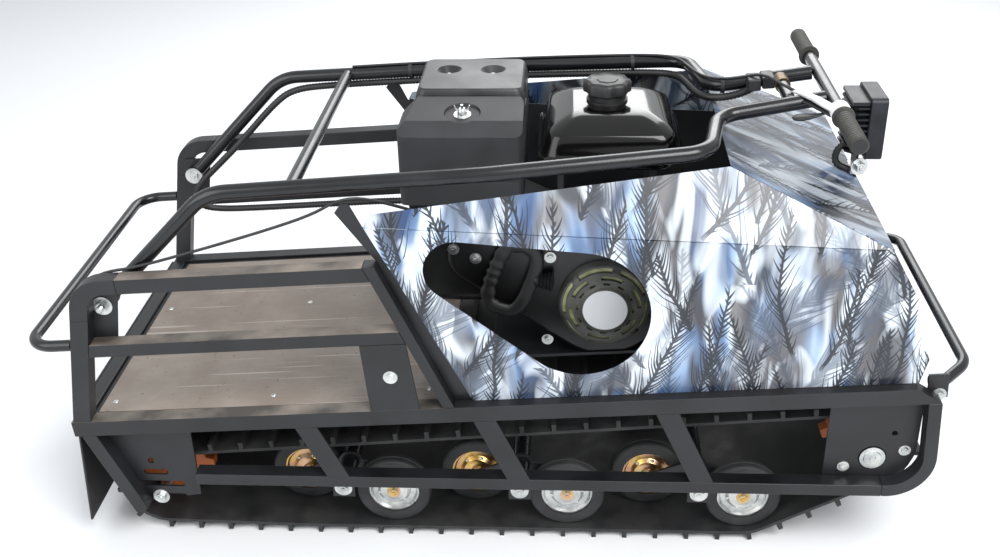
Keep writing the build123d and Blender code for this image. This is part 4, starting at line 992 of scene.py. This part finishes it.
# one wing of the nut: distance from the lid's centre, y, z; then its radii
WING = [(4, -67, 762), (8, -67, 764), (12, -67.5, 769), (13, -68, 774)]
WING_RADII = [2.8, 3.2, 3.6, 1.8]
GUARD, GUARD_CORNER = ((561, -3, 622), (756, 173, 752)), 16
GUARD_RISE = [(10, 0.995, 0.995), (12, 0.965, 0.975), (4, 0.975, 0.98), (1.2, 0.985, 0.985)]
GUARD_NOTCH = ((748, 22, 736), (768, 74, 768))
# dimples of the muffler guard: x, y; then their ends' heights and radii
DIMPLES = [(613, 108), (694, 108)]
DIMPLE_ENDS = ((764, 9), (784, 27))
DIMPLE_SCREW_Z, SCREW_ACROSS, SCREW_HEIGHT = 766, 9, 3
GUARD_SLOT, SLOT_COUNT, SLOT_PITCH = ((600, 160, 660), (608, 190, 730)), 7, 20
# roundings in metres
COVER_ROUND, GUARD_ROUND, DUCT_ROUND = 0.004, 0.0018, 0.003


class SNOWTUG_OT_covers(TugOperator, Operator):
    """Mould the air cleaner, press the muffler guard with its two dimples"""

    bl_idname = "snow_tug.covers"
    bl_label = "Engine covers"

    def execute(self, context):
        bm = bmesh.new()
        round_corners(bm, edges_along(add_block(bm, *AIR_CLEANER), 2), CLEANER_CORNER, segments=4)
        for spot, facing in COVER_PLANES:
            whole = bm.verts[:] + bm.edges[:] + bm.faces[:]
            cut = bmesh.ops.bisect_plane(bm, geom=whole, plane_co=spot, plane_no=facing, clear_outer=True)
            rim = [g for g in cut["geom_cut"] if isinstance(g, bmesh.types.BMEdge)]
            bmesh.ops.holes_fill(bm, edges=rim)
        made = new_piece("air_cleaner_cover", bm, finish(moulded_plastic), ON_FLOOR, angle=30)
        hollows = bmesh.new()
        add_block(hollows, *COVER_GROOVE)
        lid = Matrix.Translation(LID_CENTRE) @ Matrix.Rotation(LID_TILT, 4, "X")
        bmesh.ops.create_cone(
            hollows, cap_ends=True, segments=48, radius1=WELL_BOTTOM, radius2=WELL_TOP, depth=WELL_DEPTH,
            matrix=lid @ Matrix.Translation((0, 0, WELL_RISE)),
        )
        carve(made, hollows, ON_FLOOR)
        round_edges(made, COVER_ROUND, segments=4, angle=8)
        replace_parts(made, "air_cleaner")
        nut = bmesh.new()
        add_turned(nut, NUT, LID_CENTRE, LID_AXIS, sides=24)
        for side in (-1, 1):
            path = [(LID_CENTRE[0] + side * aside, y, z) for aside, y, z in WING]
            add_swept(nut, path, WING_RADII, sides=12, flatness=0.45)
        new_piece("wing_nut", nut, finish(clear_zinc), ON_FLOOR)
        guard = bmesh.new()
        round_corners(guard, edges_along(add_block(guard, *GUARD), 2), GUARD_CORNER, segments=5)
        draw_up(guard, top_face(guard), GUARD_RISE)
        made = new_piece("muffler_guard_pressed", guard, finish(stamped_black_steel), ON_FLOOR, angle=30)
        hollows = bmesh.new()
        (bottom, bottom_radius), (top, top_radius) = DIMPLE_ENDS
        for x, y in DIMPLES:
            add_rod(hollows, (x, y, bottom), (x, y, top), bottom_radius, top_radius, sides=40)
        add_block(hollows, *GUARD_NOTCH)
        (rear, near, low), (front, far, high) = GUARD_SLOT
        for slot in range(SLOT_COUNT):
            ahead = slot * SLOT_PITCH
            add_block(hollows, (rear + ahead, near, low), (front + ahead, far, high))
        carve(made, hollows, ON_FLOOR)
        round_edges(made, GUARD_ROUND, segments=3, angle=25)
        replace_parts(made, "muffler_guard")
        screws = bmesh.new()
        for x, y in DIMPLES:
            add_hex(screws, (x, y, DIMPLE_SCREW_Z), UP, SCREW_ACROSS, SCREW_HEIGHT)
        new_piece("muffler_screws", screws, finish(clear_zinc), ON_FLOOR)
        worked_copy("engine_ducts", finish(cast_aluminium), DUCT_ROUND)
        return {"FINISHED"}


# where the crankshaft's axis meets the blower housing, and the way out
CRANK = Vector((899, -155, 441))
OUT = Vector((0, -1, 0))
RECOIL_COVER = [
    (0, 0), (0, 82), (2, 82), (10, 80.5), (18, 77), (23, 72), (26, 64), (27, 52), (28, 46), (30, 43),
    (32.6, 41), (32.6, 0),
]
# slot rows: inner and outer radius, count, share of the turn that is open, start angle
SLOT_ROWS = [(69, 78, 6, 0.82, 10), (56, 63.5, 6, 0.62, 38), (47, 51, 12, 0.45, 4)]
SLOT_BOTTOM, SLOT_CEILING = 15, 40
SCREEN = [(19, 42), (19, 60), (15, 74), (14, 74), (14, 42), (19, 42)]
LABEL = [(32.6, 0), (32.6, 39), (32.9, 38.6), (32.9, 0)]
# the pull: seat, tilt, half width, half height, how square its loop is, thickness, finger waves
PULL_SEAT, PULL_TILT = (737, -168.5, 493), 20
PULL_HALF_WIDTH, PULL_HALF_HEIGHT, SQUARENESS = 33.5, 64.5, 3.2
PULL_RADIUS, WAVE_DEPTH, WAVES, PULL_STEPS = 6.2, 1.1, 14, 48
BELLOWS_FOOT, BELLOWS_AXIS = (809, -169, 487), (-1, 0, 0.12)
# the bellows' first crest and valley, then how many folds, their spacing and their taper
BELLOWS_CREST, BELLOWS_VALLEY, FOLDS, FOLD_PITCH, FOLD_TAPER = (3, 19), (6.2, 14), 5, 6, 1.3
BELLOWS_START, BELLOWS_END = [(0, 0), (0, 12)], [(34, 8), (34, 0)]
SHROUD, SHROUD_ROUND = ((552, -150, 430), (700, -92, 600)), 0.022
# bolts on the blower housing: x, z; then their width across flats and their heads
HOUSING_BOLTS = [(635, 543), (673, 525), (803, 528), (798, 362)]
HOUSING_ACROSS, HOUSING_HEAD = 11, 5
CASE_ROUND, HOUSING_ROUND = 0.004, 0.008


class SNOWTUG_OT_engine(TugOperator, Operator):
    """Cast the engine block and its blower housing, press the recoil cover"""

    bl_idname = "snow_tug.engine"
    bl_label = "Engine"

    def execute(self, context):
        worked_copy("engine_case", finish(cast_aluminium), CASE_ROUND)
        worked_copy("blower_housing", finish(cowl_enamel), HOUSING_ROUND)
        cover = bmesh.new()
        add_turned(cover, RECOIL_COVER, CRANK, OUT, sides=72)
        made = new_piece("recoil_cover_pressed", cover, finish(recoil_paint), ON_FLOOR, angle=30)
        slots = bmesh.new()
        for near, far, count, open_share, start in SLOT_ROWS:
            section = [(near, SLOT_BOTTOM), (far, SLOT_BOTTOM), (far, SLOT_CEILING), (near, SLOT_CEILING)]
            for step in range(count):
                begin = math.radians(start + 360 / count * step)
                arm = Vector((math.cos(begin), 0, math.sin(begin)))
                ring = [slots.verts.new(CRANK + arm * radius + OUT * depth) for radius, depth in section]
                bmesh.ops.spin(
                    slots, geom=[slots.faces.new(ring)], cent=CRANK, axis=OUT, steps=8,
                    angle=-2 * math.pi / count * open_share,
                )
        carve(made, slots, ON_FLOOR)
        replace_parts(made, "recoil_cover")
        screen = bmesh.new()
        add_turned(screen, SCREEN, CRANK, OUT, sides=48)
        new_piece("fan_screen", screen, finish(screen_mesh), ON_FLOOR)
        label = bmesh.new()
        add_turned(label, LABEL, CRANK, OUT, sides=64)
        new_piece("label_disc", label, finish(bare_label), ON_FLOOR)
        # The pull is a flat loop with finger waves inside, on a bellows.
        grip = bmesh.new()
        seat = Matrix.Translation(PULL_SEAT) @ Matrix.Rotation(math.radians(PULL_TILT), 4, "Y")
        path, radii = [], []
        for step in range(PULL_STEPS):
            turn = 2 * math.pi * (step + 0.5) / PULL_STEPS
            x, z = math.cos(turn), math.sin(turn)
            width_share = abs(x / PULL_HALF_WIDTH) ** SQUARENESS
            height_share = abs(z / PULL_HALF_HEIGHT) ** SQUARENESS
            stretch = (width_share + height_share) ** (-1 / SQUARENESS)
            path.append((seat @ Vector((x * stretch, 0, z * stretch))).to_tuple())
            radii.append(PULL_RADIUS + (WAVE_DEPTH * math.cos(turn * WAVES) if x < 0 else 0))
        add_swept(grip, path + path[:1], radii + radii[:1], sides=20, flatness=2.0)
        made = new_piece("starter_grip", grip, finish(black_nylon), ON_FLOOR, angle=60)
        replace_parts(made, "starter_handle")
        neck = bmesh.new()
        folds = []
        for fold in range(FOLDS):
            for along, radius in (BELLOWS_CREST, BELLOWS_VALLEY):
                folds.append((along + fold * FOLD_PITCH, radius - fold * FOLD_TAPER))
        add_turned(neck, BELLOWS_START + folds + BELLOWS_END, BELLOWS_FOOT, BELLOWS_AXIS, sides=28)
        new_piece("starter_bellows", neck, finish(black_nylon), ON_FLOOR, angle=60)
        # A pressed shroud leads the fan's air from the blower round the cylinder.
        shroud = bmesh.new()
        add_block(shroud, *SHROUD)
        made = new_piece("cylinder_shroud", shroud, finish(cowl_enamel), ON_FLOOR)
        round_edges(made, SHROUD_ROUND, segments=5)
        bolts = bmesh.new()
        for x, z in HOUSING_BOLTS:
            add_hex(bolts, (x, CRANK.y, z), OUT, HOUSING_ACROSS, HOUSING_HEAD)
        new_piece("engine_bolts", bolts, finish(clear_zinc), ON_FLOOR)
        return {"FINISHED"}


# Handle.

# the folded handle's pivot: x, z; then where its bolts' heads, nuts and shanks begin in y
PIVOT_X, PIVOT_Z = 85, 497
PIVOT_HEAD_Y, PIVOT_NUT_Y, PIVOT_SHANK_Y = 290.3, 253.2, 249
PIVOT_ACROSS, PIVOT_HEAD, PIVOT_NUT = 18, 8.4, 5
SHANK_LENGTH, SHANK_RADIUS, ROOT_RADIUS, THREAD_STEP, THREAD_ROWS = 44, 5.8, 5.1, 0.75, 20
THREAD_TIP = [(59.5, 4.6), (59.5, 0)]
# each grip: x, distance from the centre plane, z of its flange; then the stretch that is ribbed
GRIP_END = (1321, 156, 705)
GRIP_FLANGE = [(0, 11.1), (0, 17.5), (1.5, 18.5), (5, 18.5), (7, 16)]
GRIP_TIP = [(124, 14.8), (127.6, 12.4), (127.6, 4), (124, 4), (124, 0)]
RIBBED_START, RIBBED_LENGTH, RIB_TOP, RIB_ROOT = 12, 108, 14.8, 13.8
GROOVE, RIB_SLOPE = 0.8, 1


class SNOWTUG_OT_handle(TugOperator, Operator):
    """Coat the handle and fit its ribbed grips and pivot bolts"""

    bl_idname = "snow_tug.handle"
    bl_label = "Handle"

    def execute(self, context):
        for node in ("handle_tubes", "handle_cross_tubes", "grip_bar"):
            worked_copy(node, finish(gloss_tube_coat), angle=TUBE_ANGLE)
        pitch = RIBBED_LENGTH / context.scene.tug_sizes.grip_ribs
        ribs = []
        for rib in range(context.scene.tug_sizes.grip_ribs):
            start = RIBBED_START + rib * pitch
            end = start + pitch - GROOVE
            ribs += [(start, RIB_ROOT), (start + RIB_SLOPE, RIB_TOP)]
            ribs += [(end - RIB_SLOPE, RIB_TOP), (end, RIB_ROOT)]
        bm = bmesh.new()
        x, y, z = GRIP_END
        for side in (-1, 1):
            add_turned(bm, GRIP_FLANGE + ribs + GRIP_TIP, (x, side * y, z), (0, side, 0), sides=32)
        made = new_piece("grips_ribbed", bm, finish(grip_rubber), body="handle", angle=40)
        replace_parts(made, "grips")
        thread = [
            (SHANK_LENGTH + THREAD_STEP * row, SHANK_RADIUS if row % 2 else ROOT_RADIUS)
            for row in range(THREAD_ROWS)
        ]
        shank = [(0, 0), (0, SHANK_RADIUS)] + thread + THREAD_TIP
        bolts = bmesh.new()
        for side in (-1, 1):
            head, nut, tail = (
                (PIVOT_X, side * y, PIVOT_Z) for y in (PIVOT_HEAD_Y, PIVOT_NUT_Y, PIVOT_SHANK_Y)
            )
            add_hex(bolts, head, (0, side, 0), PIVOT_ACROSS, PIVOT_HEAD)
            add_hex(bolts, nut, (0, -side, 0), PIVOT_ACROSS, PIVOT_NUT)
            add_turned(bolts, shank, tail, (0, side, 0), sides=24)
        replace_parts(new_piece("pivot_bolts_hex", bolts, finish(clear_zinc)), "pivot_bolts")
        return {"FINISHED"}


# control points of the conduit, from the switches to the engine, and its two radii
CONDUIT = [
    (1212, 34, 702), (1200, 52, 684), (1168, 58, 672), (1130, 62, 670), (1112, 88, 670), (1098, 150, 669),
    (1084, 205, 668), (1040, 232, 667), (900, 250, 667), (760, 266, 667), (560, 272, 667), (400, 276, 667),
    (322, 274, 664), (280, 268, 640), (200, 258, 566), (140, 254, 516), (100, 250, 484), (78, 252, 452),
    (82, 264, 424), (112, 278, 408), (180, 281, 404), (340, 281, 404), (505, 281, 404), (600, 268, 400),
    (680, 230, 392), (740, 180, 384),
]
RIB_STEP, CONDUIT_RIB, CONDUIT_ROOT = 3.2, 7.4, 6.0
# thin cables: name, body, control points
CABLES = [
    ("lever_cable_handle", "handle",
     [(1266, -48, 712), (1240, -30, 722), (1215, 0, 732), (1180, 30, 716), (1150, 56, 706), (1120, 88, 702),
      (1100, 150, 702), (1085, 205, 702), (1040, 236, 701), (900, 252, 702), (760, 266, 702), (560, 274, 702),
      (436, 276, 702), (436, 276, 702)]),
    ("rail_cable_near", "tug",
     [(92, -283, 552), (110, -287, 560), (150, -292, 565), (250, -294, 588), (380, -294, 620),
      (470, -294, 646), (512, -291, 668), (560, -270, 660), (640, -220, 600)]),
]
CABLE_STEP, CABLE_RADIUS = 12, 2.6
# the lever's perch: its clamp round the bar, then the arm's points and radii
PERCH_CLAMP = [(0, 11.2), (0, 15.5), (1.5, 17), (18, 17), (19.5, 15.5), (19.5, 11.2), (0, 11.2)]
PERCH_SEAT = (1321, -142, 705)
PERCH_ARM = [
    (1310, -133, 710), (1300, -122, 714), (1288, -98, 716), (1276, -72, 715), (1266, -50, 713),
    (1260, -40, 711),
]
PERCH_RADII = [8, 9.5, 9, 8, 7.5, 4]
# the lever: its stem and its paddle, points and radii
LEVER_STEM = [(1308, -132, 699), (1296, -118, 704), (1284, -98, 706), (1272, -76, 705), (1264, -58, 704)]
STEM_RADII = [6, 7, 7, 6, 3]
LEVER_PADDLE = [
    (1298, -124, 700), (1288, -122, 697), (1276, -119, 694), (1264, -115, 692), (1253, -111, 691),
    (1249, -109, 691),
]
PADDLE_RADII = [4, 6, 10, 12.5, 10, 4]
SWITCH_BLOCKS = [
    ((1190, -4, 701), (1212, 38, 722)),
    ((1214, -2, 703), (1236, 40, 724)),
    ((1205, 30, 700), (1222, 66, 706)),
]
SWITCH_ROUND = 0.003
SLEEVE, SLEEVE_SEAT = [(0, 11.2), (0, 13.6), (34, 13.6), (34, 11.2), (0, 11.2)], (1253, 22, 699.4)
TIE = [(0, 12.9), (0, 14.6), (7, 14.6), (7, 12.9), (0, 12.9)]
TIE_PLACES = [(997, 240, 687), (560, 273, 687), (1150, 74, 689)]
# The lever's pieces, and hoses and cables, stay smooth over these turns.
ARM_ANGLE, HOSE_ANGLE = 50, 80


class SNOWTUG_OT_controls(TugOperator, Operator):
    """Fit the brake lever, the thumb switches, the conduit and the thin cables"""

    bl_idname = "snow_tug.controls"
    bl_label = "Controls and cables"

    def execute(self, context):
        perch = bmesh.new()
        add_turned(perch, PERCH_CLAMP, PERCH_SEAT, (0, 1, 0), sides=40)
        add_swept(perch, PERCH_ARM, PERCH_RADII, sides=20, flatness=0.55)
        new_piece("lever_perch", perch, finish(white_casting), body="handle", angle=ARM_ANGLE)
        lever = bmesh.new()
        add_swept(lever, LEVER_STEM, STEM_RADII, sides=20, flatness=0.5)
        add_swept(lever, LEVER_PADDLE, PADDLE_RADII, sides=20, flatness=0.4)
        new_piece("brake_lever", lever, finish(black_nylon), body="handle", angle=ARM_ANGLE)
        boxes = bmesh.new()
        for low, high in SWITCH_BLOCKS:
            add_block(boxes, low, high)
        made = new_piece("switch_boxes", boxes, finish(black_nylon), body="handle", angle=30)
        round_edges(made, SWITCH_ROUND, segments=3, angle=30)
        sleeve = bmesh.new()
        add_turned(sleeve, SLEEVE, SLEEVE_SEAT, (0, 1, 0), sides=32)
        new_piece("neck_sleeve", sleeve, finish(dull_bronze), body="handle")
        # Corrugated conduit under the far handle tube, past the pivot and along the mid rail.
        route = along_curve(CONDUIT, RIB_STEP)
        radii = [CONDUIT_RIB if step % 2 else CONDUIT_ROOT for step in range(len(route))]
        loom = bmesh.new()
        add_swept(loom, route, radii, sides=12)
        made = new_piece("conduit", loom, finish(black_nylon), body=None, angle=HOSE_ANGLE)
        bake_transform(made)
        for name, body, points in CABLES:
            line = along_curve(points, CABLE_STEP)
            cable = bmesh.new()
            add_swept(cable, line, [CABLE_RADIUS] * len(line), sides=10)
            new_piece(name, cable, finish(black_nylon), body=body, angle=HOSE_ANGLE)
        ties = bmesh.new()
        for spot in TIE_PLACES:
            add_turned(ties, TIE, spot, (1, 0, 0), sides=28)
        new_piece("cable_ties", ties, finish(moulded_plastic), body="handle")
        return {"FINISHED"}


# Lamp, level with the floor.

BEZEL, BEZEL_CORNER = ((1345, -50, 665), (1374.5, 50, 777)), 9
POCKET = ((1369, -43, 672), (1380, 43, 770))
LAMP_BODY = ((1322, -33, 673), (1345.5, 33, 766))
LAMP_LID = ((1316, -44, 763), (1345.5, 44, 769.5))
# fins: x from back to front, half width, height of the lowest, how far they climb, thickness
FIN_BACK, FIN_FRONT, FIN_HALF_WIDTH = 1313, 1345.5, 45
FIN_LOWEST, FIN_CLIMB, FIN_THICKNESS, FIN_CORNER = 675, 82, 3, 13
GLASS = ((1367, -42.5, 672.5), (1370.5, 42.5, 769.5))
CLAMP = ((1330, -24, 629), (1354, 8, 642))
CLAMP_BOLT, CLAMP_BOLT_AXIS, CLAMP_ACROSS, CLAMP_HEAD = (1344, -24, 644), (0.25, -1, 0), 17, 9
LEAD = [
    (1330, -14, 684), (1314, -13, 682), (1304, -12, 668), (1303, -11, 650), (1314, -11, 638),
    (1332, -12, 633),
]
LEAD_STEP, LEAD_RIB, LEAD_ROOT = 3, 6.6, 5.4
# roundings in metres
BEZEL_ROUND, CLAMP_ROUND = 0.003, 0.0015


class SNOWTUG_OT_lamp(TugOperator, Operator):
    """Build the finned work lamp"""

    bl_idname = "snow_tug.lamp"
    bl_label = "Work lamp"

    def execute(self, context):
        bm = bmesh.new()
        round_corners(bm, edges_along(add_block(bm, *BEZEL), 0), BEZEL_CORNER, segments=5)
        made = new_piece("lamp_bezel", bm, finish(anodised_fins), ON_FLOOR, angle=30)
        pocket = bmesh.new()
        add_block(pocket, *POCKET)
        carve(made, pocket, ON_FLOOR)
        round_edges(made, BEZEL_ROUND, segments=3, angle=30)
        fins = bmesh.new()
        add_block(fins, *LAMP_BODY)
        add_block(fins, *LAMP_LID)
        count = context.scene.tug_sizes.lamp_fins
        for fin in range(count):
            low = FIN_LOWEST + fin * FIN_CLIMB / (count - 1)
            verts = add_block(
                fins, (FIN_BACK, -FIN_HALF_WIDTH, low), (FIN_FRONT, FIN_HALF_WIDTH, low + FIN_THICKNESS)
            )
            back = [e for e in edges_along(verts, 2) if e.verts[0].co.x < FIN_BACK + 1]
            round_corners(fins, back, FIN_CORNER, segments=1)
        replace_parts(new_piece("lamp_fins", fins, finish(anodised_fins), ON_FLOOR), "work_lamp")
        glass = bmesh.new()
        add_block(glass, *GLASS)
        new_piece("lamp_glass", glass, finish(lamp_glass), ON_FLOOR)
        # A zinc clamp and its bolt hold the lamp's foot on the bracket; its lead loops in below.
        clamp = bmesh.new()
        add_block(clamp, *CLAMP)
        add_hex(clamp, CLAMP_BOLT, CLAMP_BOLT_AXIS, CLAMP_ACROSS, CLAMP_HEAD)
        made = new_piece("lamp_clamp", clamp, finish(clear_zinc), ON_FLOOR)
        round_edges(made, CLAMP_ROUND, segments=2, angle=30)
        line = along_curve(LEAD, LEAD_STEP)
        lead = bmesh.new()
        add_swept(lead, line, [LEAD_RIB if step % 2 else LEAD_ROOT for step in range(len(line))], sides=12)
        new_piece("lamp_lead", lead, finish(black_nylon), ON_FLOOR, angle=HOSE_ANGLE)
        return {"FINISHED"}


# Stage, in metres.

FLOOR_HALF = 12
# lights: name, place, aim, size, power
LIGHTS = [
    ("key", (1.6, -2.4, 3.2), (0, 0, 0.3), 2.2, 150),
    ("fill", (-2.6, -2.2, 2.2), (0, 0, 0.3), 2.6, 60),
    ("back", (0.6, 3.0, 2.8), (0, 0, 0.4), 2.4, 90),
]
# the camera as solved from the photograph: its place, its axes, lens and shift
CAMERA_PLACE = (0.1228, -1.9729, 1.4755)
CAMERA_AXES = [
    (0.99847, 0.05173, -0.01976),
    (-0.00738, 0.47798, 0.87834),
    (0.0549, -0.8768, 0.4776),
]
SENSOR, LENS, SHIFT, FAR_CLIP = 36.0, 42.5, -0.004, 60


class SNOWTUG_OT_stage(TugOperator, Operator):
    """Set the pale floor, the soft lights and the camera"""

    bl_idname = "snow_tug.stage"
    bl_label = "Stage"

    def execute(self, context):
        scene = context.scene
        scene.view_settings.view_transform = "Standard"
        bm = bmesh.new()
        bmesh.ops.create_grid(bm, size=FLOOR_HALF)
        mesh = bpy.data.meshes.new("floor")
        bm.to_mesh(mesh)
        bm.free()
        floor = bpy.data.objects.new("floor", mesh)
        scene.collection.objects.link(floor)
        mesh.materials.append(
            new_finish("pale floor", {"Base Color": linear("#F3F4F5"), "Roughness": 0.9})[0]
        )
        world = bpy.data.worlds.new("studio")
        scene.world = world
        world.use_nodes = True
        tree = world.node_tree
        tree.nodes.clear()
        # The camera and mirrors see white; the object is lit by the dimmer sky.
        path = add_node(tree, "ShaderNodeLightPath")
        seen = maths(tree, "MAXIMUM", path.outputs["Is Camera Ray"], path.outputs["Is Glossy Ray"])
        dim = add_node(tree, "ShaderNodeBackground", {"Color": linear("#E8EDF4"), "Strength": 0.6})
        white = add_node(tree, "ShaderNodeBackground", {"Color": linear("#F7F9FB"), "Strength": 1.0})
        both = add_node(tree, "ShaderNodeMixShader", {0: seen, 1: dim.outputs[0], 2: white.outputs[0]})
        add_node(tree, "ShaderNodeOutputWorld", {"Surface": both.outputs[0]})
        for name, spot, aim, size, power in LIGHTS:
            data = bpy.data.lights.new(name, "AREA")
            data.energy, data.size = power, size
            lamp = bpy.data.objects.new(name, data)
            scene.collection.objects.link(lamp)
            lamp.location = spot
            lamp.rotation_euler = (Vector(aim) - Vector(spot)).to_track_quat("-Z", "Y").to_euler()
        data = bpy.data.cameras.new("camera")
        data.sensor_width, data.lens, data.shift_x = SENSOR, LENS, SHIFT
        data.clip_end = FAR_CLIP
        camera = bpy.data.objects.new("camera", data)
        scene.collection.objects.link(camera)
        turn = Matrix(CAMERA_AXES).transposed().to_4x4()
        camera.matrix_world = Matrix.Translation(CAMERA_PLACE) @ turn
        scene.camera = camera
        return {"FINISHED"}


class SNOWTUG_PT_panel(Panel):
    """Lists the build steps and the settings"""

    bl_label = "Snow Tug"
    bl_idname = "SNOWTUG_PT_panel"
    bl_space_type = "VIEW_3D"
    bl_region_type = "UI"
    bl_category = "Snow Tug"

    def draw(self, context):
        for group in (context.scene.tug_colours, context.scene.tug_sizes):
            for name in group.bl_rna.properties.keys():
                if name not in ("rna_type", "name"):
                    self.layout.prop(group, name)
        for step in STEPS:
            self.layout.operator(step.bl_idname)


STEPS = [
    SNOWTUG_OT_stage,
    SNOWTUG_OT_frame,
    SNOWTUG_OT_deck,
    SNOWTUG_OT_rollers,
    SNOWTUG_OT_track,
    SNOWTUG_OT_hood,
    SNOWTUG_OT_tank,
    SNOWTUG_OT_covers,
    SNOWTUG_OT_engine,
    SNOWTUG_OT_handle,
    SNOWTUG_OT_controls,
    SNOWTUG_OT_lamp,
]


def register():
    for cls in [TugColours, TugSizes, *STEPS, SNOWTUG_PT_panel]:
        bpy.utils.register_class(cls)
    bpy.types.Scene.tug_colours = PointerProperty(type=TugColours)
    bpy.types.Scene.tug_sizes = PointerProperty(type=TugSizes)


def unregister():
    del bpy.types.Scene.tug_sizes
    del bpy.types.Scene.tug_colours
    for cls in reversed([TugColours, TugSizes, *STEPS, SNOWTUG_PT_panel]):
        bpy.utils.unregister_class(cls)


def main():
    """Register the steps and run every one in order."""
    register()
    for step in STEPS:
        group, name = step.bl_idname.split(".")
        getattr(getattr(bpy.ops, group), name)()


if __name__ == "__main__":
    main()
